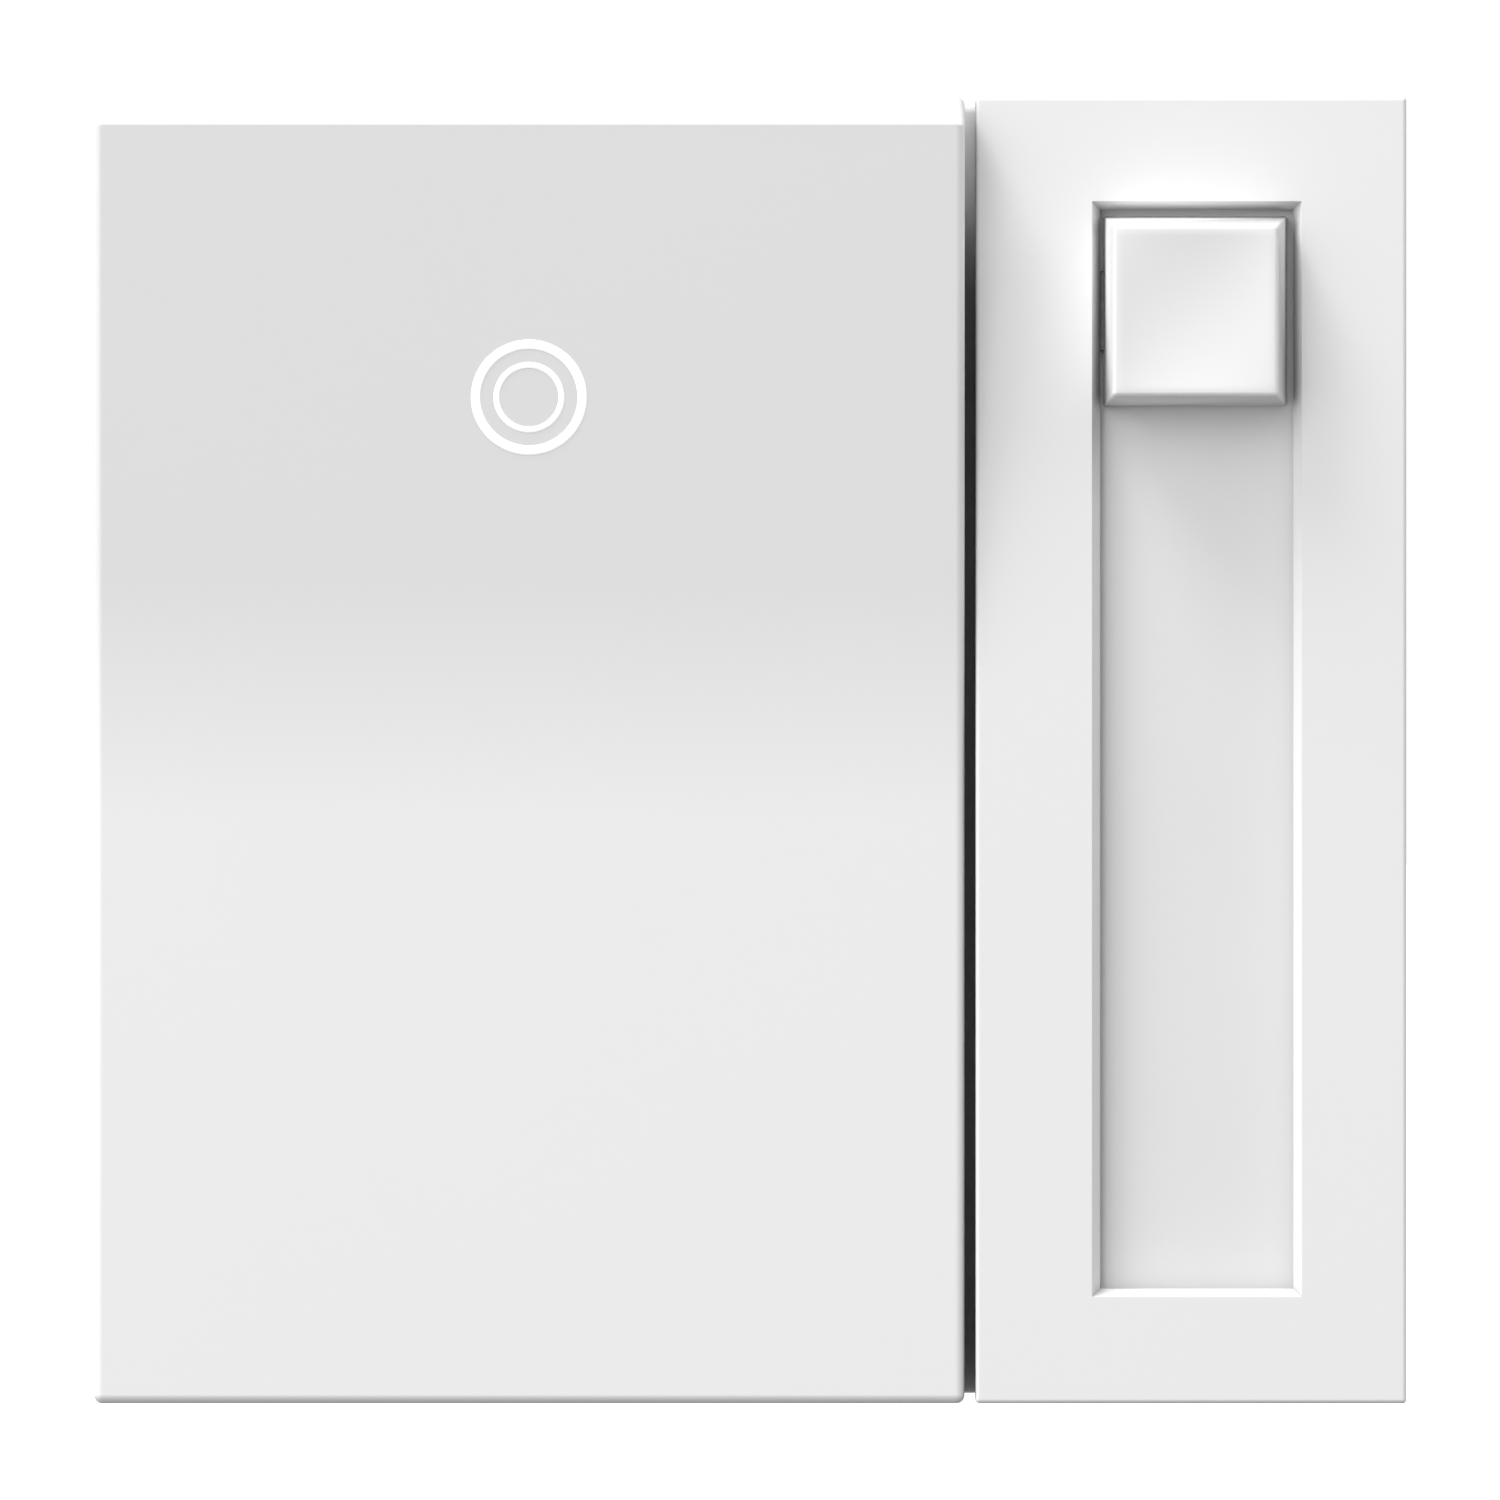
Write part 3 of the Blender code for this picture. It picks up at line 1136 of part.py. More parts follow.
def make_triac(group, cutters):
    pad_half_width = 5.6
    pad = box(
        "triac_insulator",
        (TRIAC_X - pad_half_width, 0.0, TRIAC_HOLE_Z - 15),
        (TRIAC_X + pad_half_width, 0.25, TRIAC_HOLE_Z + 3.6),
        group,
    )
    cut(pad, rod("insulator_hole", (TRIAC_X, 0, TRIAC_HOLE_Z), 1.7, 3, "Y", cutters, sides=16))
    finish(pad, PAD_GREY)

    half_width = 5.0
    body_bottom = TRIAC_HOLE_Z - 12.4
    tab_high = (TRIAC_X + half_width, 1.8, TRIAC_HOLE_Z + 2.8)
    triac = box("triac", (TRIAC_X - half_width, 0.5, body_bottom), tab_high, group)
    cut(triac, rod("tab_hole", (TRIAC_X, 1, TRIAC_HOLE_Z), 1.7, 4, "Y", cutters, sides=16))
    body_high = (TRIAC_X + half_width, 4.9, TRIAC_HOLE_Z - 3.4)
    join(triac, box("triac_body", (TRIAC_X - half_width, 0.9, body_bottom), body_high, cutters))
    for offset in (-2.54, 0, 2.54):
        x = TRIAC_X + offset
        low_z = TRIAC_HOLE_Z - 14.2
        leg = box(f"triac_leg_{offset}", (x - 0.4, 2.6, low_z), (x + 0.4, 3.2, TRIAC_HOLE_Z - 12), cutters)
        drop = box(f"triac_drop_{offset}", (x - 0.4, 2.6, low_z), (x + 0.4, 15.3, low_z + 0.6), cutters)
        join(triac, leg)
        join(triac, drop)
    finish(triac, BLACK_PLASTIC)
    place = (TRIAC_X, 2.1, TRIAC_HOLE_Z)
    screw = slotted_screw("triac_screw", place, (2.6, 1.6), (1.35, 3.6), AXIS_TURN["Y"], group, cutters)
    finish(screw, STEEL)


def make_choke(group):
    centre = Vector((-6.5, 8.2, 6.0))
    ring_radius = 7.0
    core_radius = 2.5
    bm = bmesh.new()
    around, across = 28, 12
    loops = []
    for i in range(around):
        turn = Matrix.Rotation(math.tau * i / around, 3, "Y")
        section = [turn @ Vector((ring_radius + x, y, 0)) for x, y in circle_points(core_radius, across)]
        loops.append([bm.verts.new(point) for point in section])
    for i, loop in enumerate(loops):
        following = loops[(i + 1) % around]
        for j in range(across):
            k = (j + 1) % across
            bm.faces.new((loop[j], loop[k], following[k], following[j]))
    bmesh.ops.recalc_face_normals(bm, faces=bm.faces)
    core = place_mesh("choke_core", bm, group, centre)
    smooth(core)
    finish(core, FERRITE)

    wire_radius = 0.45
    loop_radius = core_radius + 0.45 + wire_radius
    turns = 13
    per_turn = 10
    sweep = math.radians(300)
    points = []
    for i in range(turns * per_turn + 1):
        share = i / (turns * per_turn)
        around_angle = sweep * share
        angle = math.tau * turns * share
        out = ring_radius + loop_radius * math.cos(angle)
        height = loop_radius * math.sin(angle)
        points.append(centre + Vector((out * math.cos(around_angle), height, out * math.sin(around_angle))))
    finish(wire("choke_winding", points, wire_radius, group), COPPER)


# --- assembly ---------------------------------------------------------------------------------------
def main():
    clear_scene()
    group = new_collection("dimmer_slide_switch")
    cutters = new_collection("cutters")

    paddle_joint = joint_empty("paddle_hinge", (PADDLE_X, PIVOT_Y, PIVOT_Z), group)
    slider_joint = joint_empty("slider_travel", (KNOB_X, FACE_Y, KNOB_Z), group)
    plunger_joint = joint_empty("plunger_travel", (PADDLE_X, PLUNGER_FRONT_Y, PLUNGER_Z), group)

    ride_on(paddle_joint, make_tap_paddle(group, cutters), *make_rings(group))
    knob_pieces = [make_knob(group, cutters), make_slider_arm(group, cutters), *make_fader(group, cutters)]
    ride_on(slider_joint, *knob_pieces)
    ride_on(plunger_joint, make_tap_switch(group, cutters))

    make_slider_bezel(group, cutters)
    make_floor_strip(group)
    make_chassis(group, cutters)
    make_pivot_rod(group)
    make_paddle_springs(group)
    make_control_board(group, cutters)
    make_mounting_plate(group, cutters)
    make_latches(group, cutters)
    make_rear_housing(group, cutters)
    make_label(group)
    make_housing_screws(group, cutters)
    make_terminals(group, cutters)
    make_power_board(group, cutters)
    make_triac(group, cutters)
    make_choke(group)
    bpy.context.view_layer.update()


main()
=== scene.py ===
"""The looks of a wall dimmer: moulded white plastic in front, a grey device housing behind.

Lengths are in metres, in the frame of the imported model: the front faces -Y, +X is right and +Z is up.
"""

import json
import math

import bmesh
import bpy
from mathutils import Matrix, Vector


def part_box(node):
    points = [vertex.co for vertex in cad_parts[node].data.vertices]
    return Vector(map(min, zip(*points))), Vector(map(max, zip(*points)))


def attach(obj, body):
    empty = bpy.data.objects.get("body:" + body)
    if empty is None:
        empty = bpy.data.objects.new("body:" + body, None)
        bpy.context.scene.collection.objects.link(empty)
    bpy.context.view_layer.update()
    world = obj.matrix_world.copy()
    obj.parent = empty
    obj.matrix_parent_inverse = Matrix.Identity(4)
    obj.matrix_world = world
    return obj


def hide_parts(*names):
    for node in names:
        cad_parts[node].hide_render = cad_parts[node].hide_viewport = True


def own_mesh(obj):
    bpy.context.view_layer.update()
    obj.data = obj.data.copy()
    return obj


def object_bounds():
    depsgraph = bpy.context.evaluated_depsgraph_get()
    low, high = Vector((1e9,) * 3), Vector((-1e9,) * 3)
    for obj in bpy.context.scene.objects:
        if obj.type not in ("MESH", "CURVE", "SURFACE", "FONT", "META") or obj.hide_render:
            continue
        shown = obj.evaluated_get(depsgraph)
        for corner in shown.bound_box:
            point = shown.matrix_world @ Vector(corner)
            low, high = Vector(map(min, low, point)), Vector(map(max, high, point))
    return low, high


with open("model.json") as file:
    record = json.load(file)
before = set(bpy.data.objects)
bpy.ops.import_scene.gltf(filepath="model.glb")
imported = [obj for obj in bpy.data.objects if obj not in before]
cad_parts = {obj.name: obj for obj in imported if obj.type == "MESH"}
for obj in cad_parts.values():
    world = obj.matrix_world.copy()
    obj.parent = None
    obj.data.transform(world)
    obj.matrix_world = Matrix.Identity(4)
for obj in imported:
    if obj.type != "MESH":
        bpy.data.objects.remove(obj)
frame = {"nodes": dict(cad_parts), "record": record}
cad_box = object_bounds()

MM = 0.001
PAST = 1 * MM  # how far a cutter runs past the surface that it opens
TOUCHING = 0.001 * MM  # how near counts as being on a plane
ROUND_STEPS = 6
SHARP_ANGLE = math.radians(30)
SMOOTH_ANGLE = math.radians(35)

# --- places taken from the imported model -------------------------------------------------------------
paddle_low, paddle_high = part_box("tap_paddle")
bezel_low, bezel_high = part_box("slider_bezel")
strip_low, strip_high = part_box("slider_floor_strip")
knob_low, knob_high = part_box("slider_knob")
arm_low, arm_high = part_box("slider_arm")
ring_low, ring_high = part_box("indicator_outer_ring")
FACE_Y = bezel_low.y
PADDLE_X = (paddle_low.x + paddle_high.x) / 2
ICON_Z = (ring_low.z + ring_high.z) / 2

# --- tap paddle and indicator -----------------------------------------------------------------------
PADDLE_CREST_Z = 32.2 * MM
PADDLE_ROUND = 0.45 * MM
PADDLE_CREST_ROUND = 0.10 * MM
CREST_NEAR = 1.0 * MM
PADDLE_WALL = 1.8 * MM
CREASE_Z = 2.6 * MM
CREASE_REACH = 6.0 * MM
CREASE_STEPS = 14
SKIRT_BACK_TOP_Y = -7.8 * MM
OUTER_RING = (2.49 * MM, 2.99 * MM)  # inner and outer radius
INNER_RING = (1.51 * MM, 1.83 * MM)
RING_ROOT = 0.25 * MM
RING_PROUD = 0.03 * MM
RING_EASE = 0.05 * MM
RING_SIDES = 128
SPRINGS = ("paddle_spring_left", "paddle_spring_right")

# --- slider column ----------------------------------------------------------------------------------
BEZEL_ROUND = 0.22 * MM
BEZEL_WALL = 1.5 * MM
SLOT_LEFT = 18.00 * MM
SLOT_RIGHT = 27.95 * MM
SLOT_BOTTOM = -27.70 * MM
SLOT_TOP = 27.80 * MM
SLOT_CHAMFER = 0.42 * MM
SLOT_CHAMFER_DEPTH = 0.80 * MM
LIP_THICKNESS = 0.85 * MM
POCKET_GAP = 0.3 * MM
KNOB_TAPER = 0.50 * MM
KNOB_EDGE = 0.20 * MM
KNOB_EDGE_STEPS = 4
KNOB_DISH = 0.28 * MM
KNOB_GRID = 23
ARM_NOTCH = 4.0 * MM
ARM_PLAY = 0.06 * MM

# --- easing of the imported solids: the width of each one's rounded edges ------------------------------
EASED = {
    "slider_floor_strip": 0.05 * MM,
    "front_chassis": 0.12 * MM,
    "mounting_plate": 0.10 * MM,
    "rear_housing": 0.15 * MM,
    "rating_label": 0.03 * MM,
    "latch_spring_upper": 0.08 * MM,
    "latch_spring_lower": 0.08 * MM,
    "latch_rivet_upper": 0.05 * MM,
    "latch_rivet_lower": 0.05 * MM,
    "slider_arm": 0.06 * MM,
}
FASTENER_EASE = 0.06 * MM
EASED_STEPS = 2
SAME_POINT = 0.0005 * MM  # corners nearer than this are one corner
SAME_PLANE = math.radians(0.5)

# --- finishes ---------------------------------------------------------------------------------------
# Plastics and coatings: colour, roughness, size and depth of the grain, spread of the colour.
MOULDED = {
    "slot_grey": ((0.80, 0.80, 0.805), 0.42, 0.10 * MM, 0.002 * MM, 0.01),
    # chassis_white is mid grey, not white: painted shade that keeps the gap between paddle and bezel dark at
    # its top, where light reaches in.
    "chassis_white": ((0.60, 0.60, 0.61), 0.50, 0.15 * MM, 0.006 * MM, 0.015),
    "housing_grey": ((0.19, 0.20, 0.215), 0.52, 0.16 * MM, 0.012 * MM, 0.04),
    "black_plastic": ((0.03, 0.03, 0.033), 0.42, 0.12 * MM, 0.006 * MM, 0.08),
    "track_brown": ((0.22, 0.13, 0.07), 0.60, 0.20 * MM, 0.004 * MM, 0.08),
    "silicone_pad": ((0.42, 0.45, 0.50), 0.75, 0.30 * MM, 0.010 * MM, 0.05),
    "ferrite": ((0.07, 0.07, 0.075), 0.62, 0.20 * MM, 0.015 * MM, 0.1),
    "capacitor_sleeve": ((0.03, 0.07, 0.24), 0.28, 0.50 * MM, 0.003 * MM, 0.06),
    "film_yellow": ((0.78, 0.52, 0.07), 0.35, 0.40 * MM, 0.008 * MM, 0.05),
    "varistor_red": ((0.45, 0.06, 0.03), 0.40, 0.50 * MM, 0.020 * MM, 0.08),
    "fuse_ceramic": ((0.80, 0.78, 0.70), 0.30, 0.40 * MM, 0.004 * MM, 0.03),
    "resistor_tan": ((0.60, 0.44, 0.28), 0.40, 0.30 * MM, 0.010 * MM, 0.06),
    "label": ((0.80, 0.80, 0.81), 0.40, 0.50 * MM, 0.003 * MM, 0.01),
}
# Metals: colour, roughness, stretch of the drawing lines along the axes, depth of the lines.
ROLLED = (0.05, 1, 1)
DRAWN = (1, 1, 1)
METALS = {
    "steel": ((0.60, 0.61, 0.63), 0.32, ROLLED, 0.002 * MM),
    "aluminium": ((0.74, 0.75, 0.77), 0.36, ROLLED, 0.003 * MM),
    "brass": ((0.78, 0.58, 0.26), 0.28, ROLLED, 0.002 * MM),
    "copper": ((0.75, 0.33, 0.16), 0.25, DRAWN, 0.001 * MM),
    "green_steel": ((0.08, 0.38, 0.14), 0.36, ROLLED, 0.002 * MM),
    # Painted shade: near-black steel, given to the slider arm so that where it shows it reads as the dark gap
    # beside the knob.
    "gap_shade_steel": ((0.13, 0.13, 0.135), 0.45, ROLLED, 0.002 * MM),
}
FACE_WHITE = (0.85, 0.85, 0.853)
FACE_ROUGHNESS = 0.30
# Painted shade in the face's narrow gaps: its reach, the share of open surroundings where it ends, and its
# samples.
GAP_SHADE_REACH = 0.8 * MM
GAP_SHADE_OPEN = 0.9  # from this share of open surroundings the colour is full
GAP_SHADE_SAMPLES = 6
GLOWING_WHITE = (0.93, 0.93, 0.94)
INDICATOR_GLOW = 0.35
CLEAR = (0.92, 0.94, 0.96)
CLEAR_TRANSMISSION = 0.9
CLOUD_SIZE = 14 * MM
GLOSS_SIZE = 2.5 * MM
METAL_CLOUD_SIZE = 6 * MM
METAL_LINE_SIZE = 0.25 * MM
TRACK_PITCH = 9 * MM
TRACK_WIDTH = 0.06  # share of the pitch
TRACK_HEIGHT = 0.03 * MM
NOISE_MIDDLE = (0.3, 0.7)  # the noise's usual lowest and highest values

# --- camera -----------------------------------------------------------------------------------------
VIEW_WIDTH = 77.12 * MM
VIEW_CENTRE = Vector((0.0, FACE_Y, 0.0))
CAMERA_DISTANCE = 3.0
SENSOR_MM = 36.0

# --- studio -----------------------------------------------------------------------------------------
FLOOR_HALF = 14.0
FLOOR_GLOW = 0.9
FLOOR_CLOUDS = 0.4
BACKDROP_LEVEL = 1.05
# The tent's lobes of light: direction, sharpness, strength.
TENT = {
    "above": ((0, 0, 1), 1.0, 0.50),
    "left": ((-1, 0, 0), 1.0, 0.50),
    "right": ((1, 0, 0), 1.0, 0.15),
    "front": ((-0.45, -1, 0.4), 4.0, 1.73),
    "behind": ((0, 1, 0), 1.0, 0.6),
    "below": ((0, 0, -1), 1.0, 0.04),
}
# The square lamps: direction, distance, size and power.
SOFTBOXES = {
    "key": ((-1.0, -0.5, 2.0), 1.0, 0.35, 6.6),
    "fill": ((-1.0, -2.0, 1.0), 1.0, 0.35, 0.9),
    "rim": ((1.0, -0.1, 0.35), 1.0, 0.4, 2.5),
}


# --- mesh helpers -----------------------------------------------------------------------------------
def new_object(name, bm):
    mesh = bpy.data.meshes.new(name)
    bm.to_mesh(mesh)
    bm.free()
    made = bpy.data.objects.new(name, mesh)
    bpy.context.scene.collection.objects.link(made)
    return made


def box(name, low, high):
    low = Vector(low)
    high = Vector(high)
    bm = bmesh.new()
    bmesh.ops.create_cube(bm, size=1.0)
    bmesh.ops.scale(bm, vec=high - low, verts=bm.verts)
    bmesh.ops.translate(bm, vec=(low + high) / 2, verts=bm.verts)
    return new_object(name, bm)


def prism(name, outline, low_x, high_x):
    """A solid with the same (y, z) outline from low_x to high_x."""
    bm = bmesh.new()
    near = [bm.verts.new((low_x, y, z)) for y, z in outline]
    far = [bm.verts.new((high_x, y, z)) for y, z in outline]
    bm.faces.new(near)
    bm.faces.new(list(reversed(far)))
    for i in range(len(outline)):
        j = (i + 1) % len(outline)
        bm.faces.new((near[j], near[i], far[i], far[j]))
    bmesh.ops.recalc_face_normals(bm, faces=bm.faces)
    return new_object(name, bm)


def turned(name, profile, sides, matrix):
    """A closed ring of (radius, height) points turned about Z, then placed by the matrix."""
    bm = bmesh.new()
    loops = []
    for i in range(sides):
        turn = Matrix.Rotation(math.tau * i / sides, 3, "Z")
        places = [matrix @ (turn @ Vector((radius, 0, height))) for radius, height in profile]
        loops.append([bm.verts.new(place) for place in places])
    for i, loop in enumerate(loops):
        following = loops[(i + 1) % sides]
        for j in range(len(profile)):
            k = (j + 1) % len(profile)
            bm.faces.new((loop[j], loop[k], following[k], following[j]))
    bmesh.ops.recalc_face_normals(bm, faces=bm.faces)
    return new_object(name, bm)


def apply_modifiers(piece):
    """Turns the piece's modifiers into its mesh."""
    evaluated = piece.evaluated_get(bpy.context.evaluated_depsgraph_get())
    mesh = bpy.data.meshes.new_from_object(evaluated)
    old = piece.data
    piece.modifiers.clear()
    piece.data = mesh
    bpy.data.meshes.remove(old)
    return piece


def cut(piece, tool):
    """Cuts the tool away from the piece and removes the tool."""
    step = piece.modifiers.new("cut", "BOOLEAN")
    step.operation = "DIFFERENCE"
    step.solver = "EXACT"
    step.object = tool
    apply_modifiers(piece)
    bpy.data.objects.remove(tool)


def round_edges(piece, width, steps):
    bevel = piece.modifiers.new("round", "BEVEL")
    bevel.width = width
    bevel.segments = steps
    bevel.limit_method = "ANGLE"
    bevel.angle_limit = SHARP_ANGLE
    apply_modifiers(piece)


def round_by_weight(piece, width, steps, weight_of):
    """Rounds each sharp edge by its own share of the width, which depends on where the edge's middle is."""
    bm = bmesh.new()
    bm.from_mesh(piece.data)
    weights = bm.edges.layers.float.new("bevel_weight_edge")
    for edge in bm.edges:
        if edge.calc_face_angle(0) > SHARP_ANGLE:
            edge[weights] = weight_of((edge.verts[0].co + edge.verts[1].co) / 2)
    bm.to_mesh(piece.data)
    bm.free()
    bevel = piece.modifiers.new("round", "BEVEL")
    bevel.width = width
    bevel.segments = steps
    bevel.limit_method = "WEIGHT"
    apply_modifiers(piece)


def smooth(piece):
    """Smooth shading over the roundings, with the flat faces kept flat."""
    piece.data.shade_smooth()
    piece.data.set_sharp_from_angle(angle=SMOOTH_ANGLE)
    weighted = piece.modifiers.new("weighted", "WEIGHTED_NORMAL")
    weighted.mode = "FACE_AREA"
    weighted.keep_sharp = True
    weighted.weight = 100
    return apply_modifiers(piece)


# --- material helpers -------------------------------------------------------------------------------
def new_material(name, roughness, metallic=0.0, specular=0.5):
    material = bpy.data.materials.new(name)
    material.use_nodes = True
    shader = material.node_tree.nodes["Principled BSDF"]
    shader.inputs["Roughness"].default_value = roughness
    shader.inputs["Metallic"].default_value = metallic
    shader.inputs["Specular IOR Level"].default_value = specular
    return material, shader


def place_on(material, stretch=(1, 1, 1)):
    """Object coordinates in metres, stretched along the axes."""
    tree = material.node_tree
    coordinates = tree.nodes.new("ShaderNodeTexCoord")
    mapping = tree.nodes.new("ShaderNodeMapping")
    mapping.inputs["Scale"].default_value = stretch
    tree.links.new(coordinates.outputs["Object"], mapping.inputs["Vector"])
    return mapping.outputs["Vector"]


def noise(material, size, detail=3.0, stretch=(1, 1, 1)):
    """Noise whose features are about size metres wide."""
    tree = material.node_tree
    node = tree.nodes.new("ShaderNodeTexNoise")
    node.inputs["Scale"].default_value = 1 / size
    node.inputs["Detail"].default_value = detail
    node.inputs["Roughness"].default_value = 0.55
    tree.links.new(place_on(material, stretch), node.inputs["Vector"])
    return node.outputs["Fac"]


def vary(material, value, low, high):
    """The middle of the noise's range mapped to a number from low to high."""
    tree = material.node_tree
    node = tree.nodes.new("ShaderNodeMapRange")
    node.inputs["From Min"].default_value, node.inputs["From Max"].default_value = NOISE_MIDDLE
    node.inputs["To Min"].default_value = low
    node.inputs["To Max"].default_value = high
    tree.links.new(value, node.inputs["Value"])
    return node.outputs["Result"]


def blend_colours(material, value, first, second):
    """A colour that goes from the first to the second over the middle of the noise's range."""
    tree = material.node_tree
    ramp = tree.nodes.new("ShaderNodeValToRGB")
    for element, position, colour in zip(ramp.color_ramp.elements, NOISE_MIDDLE, (first, second)):
        element.position = position
        element.color = (*colour, 1)
    tree.links.new(value, ramp.inputs["Fac"])
    return ramp.outputs["Color"]


def bump(material, shader, height, distance):
    tree = material.node_tree
    node = tree.nodes.new("ShaderNodeBump")
    node.inputs["Distance"].default_value = distance
    tree.links.new(height, node.inputs["Height"])
    tree.links.new(node.outputs["Normal"], shader.inputs["Normal"])


def shade(colour, factor):
    return tuple(min(channel * factor, 1.0) for channel in colour)


def paint_shade_in_gaps(material):
    """Painted shade in narrow gaps: the colour falls towards black where other surfaces stand closer than the
    shade's reach.
    """
    tree = material.node_tree
    shader = tree.nodes["Principled BSDF"]
    colour = shader.inputs["Base Color"].links[0].from_socket
    nearness = tree.nodes.new("ShaderNodeAmbientOcclusion")
    nearness.samples = GAP_SHADE_SAMPLES
    nearness.inputs["Distance"].default_value = GAP_SHADE_REACH
    openness = tree.nodes.new("ShaderNodeMapRange")
    openness.inputs["From Max"].default_value = GAP_SHADE_OPEN
    tree.links.new(nearness.outputs["AO"], openness.inputs["Value"])
    product = tree.nodes.new("ShaderNodeVectorMath")
    product.operation = "SCALE"
    tree.links.new(colour, product.inputs[0])
    tree.links.new(openness.outputs["Result"], product.inputs["Scale"])
    tree.links.new(product.outputs["Vector"], shader.inputs["Base Color"])


def moulded(name, colour, roughness, grain_size, grain_depth, spread, gloss_spread=0.1):
    """Injection-moulded plastic: faint flow clouds in the colour and gloss, and a fine spark-eroded grain."""
    material, shader = new_material(name, roughness)
    tree = material.node_tree
    clouds = noise(material, CLOUD_SIZE, detail=2.0)
    colour_out = blend_colours(material, clouds, shade(colour, 1 - spread), shade(colour, 1 + spread))
    tree.links.new(colour_out, shader.inputs["Base Color"])
    gloss = noise(material, GLOSS_SIZE)
    duller = roughness * (1 + gloss_spread)
    glossier = roughness * (1 - gloss_spread)
    tree.links.new(vary(material, gloss, glossier, duller), shader.inputs["Roughness"])
    if grain_depth:
        bump(material, shader, noise(material, grain_size, detail=2.0), grain_depth)
    return material


def metal(name, colour, roughness, streak, depth):
    """Rolled or drawn metal with fine lines."""
    material, shader = new_material(name, roughness, metallic=1.0)
    tree = material.node_tree
    lines = noise(material, METAL_LINE_SIZE, detail=4.0, stretch=streak)
    clouds = noise(material, METAL_CLOUD_SIZE)
    colour_out = blend_colours(material, clouds, shade(colour, 0.92), shade(colour, 1.04))
    tree.links.new(colour_out, shader.inputs["Base Color"])
    tree.links.new(vary(material, lines, roughness * 0.75, roughness * 1.35), shader.inputs["Roughness"])
    bump(material, shader, lines, depth)
    return material


# --- materials --------------------------------------------------------------------------------------
def board_green():
    """Green solder mask over copper tracks, which show as slightly raised paler lines."""
    material, shader = new_material("board_green", 0.38)
    tree = material.node_tree
    tracks = tree.nodes.new("ShaderNodeTexBrick")
    tracks.inputs["Scale"].default_value = 1 / TRACK_PITCH
    tracks.inputs["Mortar Size"].default_value = TRACK_WIDTH
    tracks.inputs["Color1"].default_value = (0.02, 0.14, 0.055, 1)
    tracks.inputs["Color2"].default_value = (0.022, 0.155, 0.06, 1)
    tracks.inputs["Mortar"].default_value = (0.06, 0.27, 0.11, 1)
    turned_axes = tree.nodes.new("ShaderNodeMapping")
    turned_axes.inputs["Rotation"].default_value = (math.radians(90), 0, 0)
    tree.links.new(place_on(material), turned_axes.inputs["Vector"])
    tree.links.new(turned_axes.outputs["Vector"], tracks.inputs["Vector"])
    tree.links.new(tracks.outputs["Color"], shader.inputs["Base Color"])
    tree.links.new(vary(material, noise(material, 3 * MM), 0.32, 0.45), shader.inputs["Roughness"])
    bump(material, shader, tracks.outputs["Fac"], TRACK_HEIGHT)
    return material


def face_white():
    """The face's smooth white plastic, with painted shade that darkens its colour in the narrow gaps."""
    material = moulded("face_white", FACE_WHITE, FACE_ROUGHNESS, None, 0, spread=0.002, gloss_spread=0.02)
    paint_shade_in_gaps(material)
    return material


def indicator_white():
    """White plastic with light behind it."""
    material = moulded("indicator_white", GLOWING_WHITE, FACE_ROUGHNESS, 0.12 * MM, 0.001 * MM, spread=0.003)
    shader = material.node_tree.nodes["Principled BSDF"]
    shader.inputs["Emission Color"].default_value = (1.0, 1.0, 1.0, 1)
    shader.inputs["Emission Strength"].default_value = INDICATOR_GLOW
    return material


def clear_plastic():
    material = moulded("clear_plastic", CLEAR, 0.08, 0.6 * MM, 0.002 * MM, spread=0.005)
    shader = material.node_tree.nodes["Principled BSDF"]
    shader.inputs["Transmission Weight"].default_value = CLEAR_TRANSMISSION
    return material


def make_materials():
    made = {name: moulded(name, *finish) for name, finish in MOULDED.items()}
    made.update({name: metal(name, *finish) for name, finish in METALS.items()})
    for make in (face_white, indicator_white, clear_plastic, board_green):
        made[make.__name__] = make()
    return made


# --- tap paddle and indicator -----------------------------------------------------------------------
RAMP_SLOPE = (FACE_Y - paddle_low.y) / (PADDLE_CREST_Z - CREASE_Z)


def ramp_y(z, offset=0.0):
    """How far forward the paddle's upper facet stands at a height, offset behind its outer surface."""
    return FACE_Y - RAMP_SLOPE * (z - CREASE_Z) + offset * math.hypot(1, RAMP_SLOPE)


def paddle_front(offset, low_z, high_z):
    """The front line of the paddle from bottom to top: a flat, a soft crease and a ramp."""
    start = Vector((FACE_Y + offset, CREASE_Z - CREASE_REACH))
    corner = Vector((FACE_Y + offset, CREASE_Z))
    end = Vector((ramp_y(CREASE_Z + CREASE_REACH, offset), CREASE_Z + CREASE_REACH))
    line = [(FACE_Y + offset, low_z)]
    for i in range(CREASE_STEPS + 1):
        t = i / CREASE_STEPS
        line.append(tuple(start * (1 - t) ** 2 + corner * 2 * t * (1 - t) + end * t**2))
    line.append((ramp_y(high_z, offset), high_z))
    return line


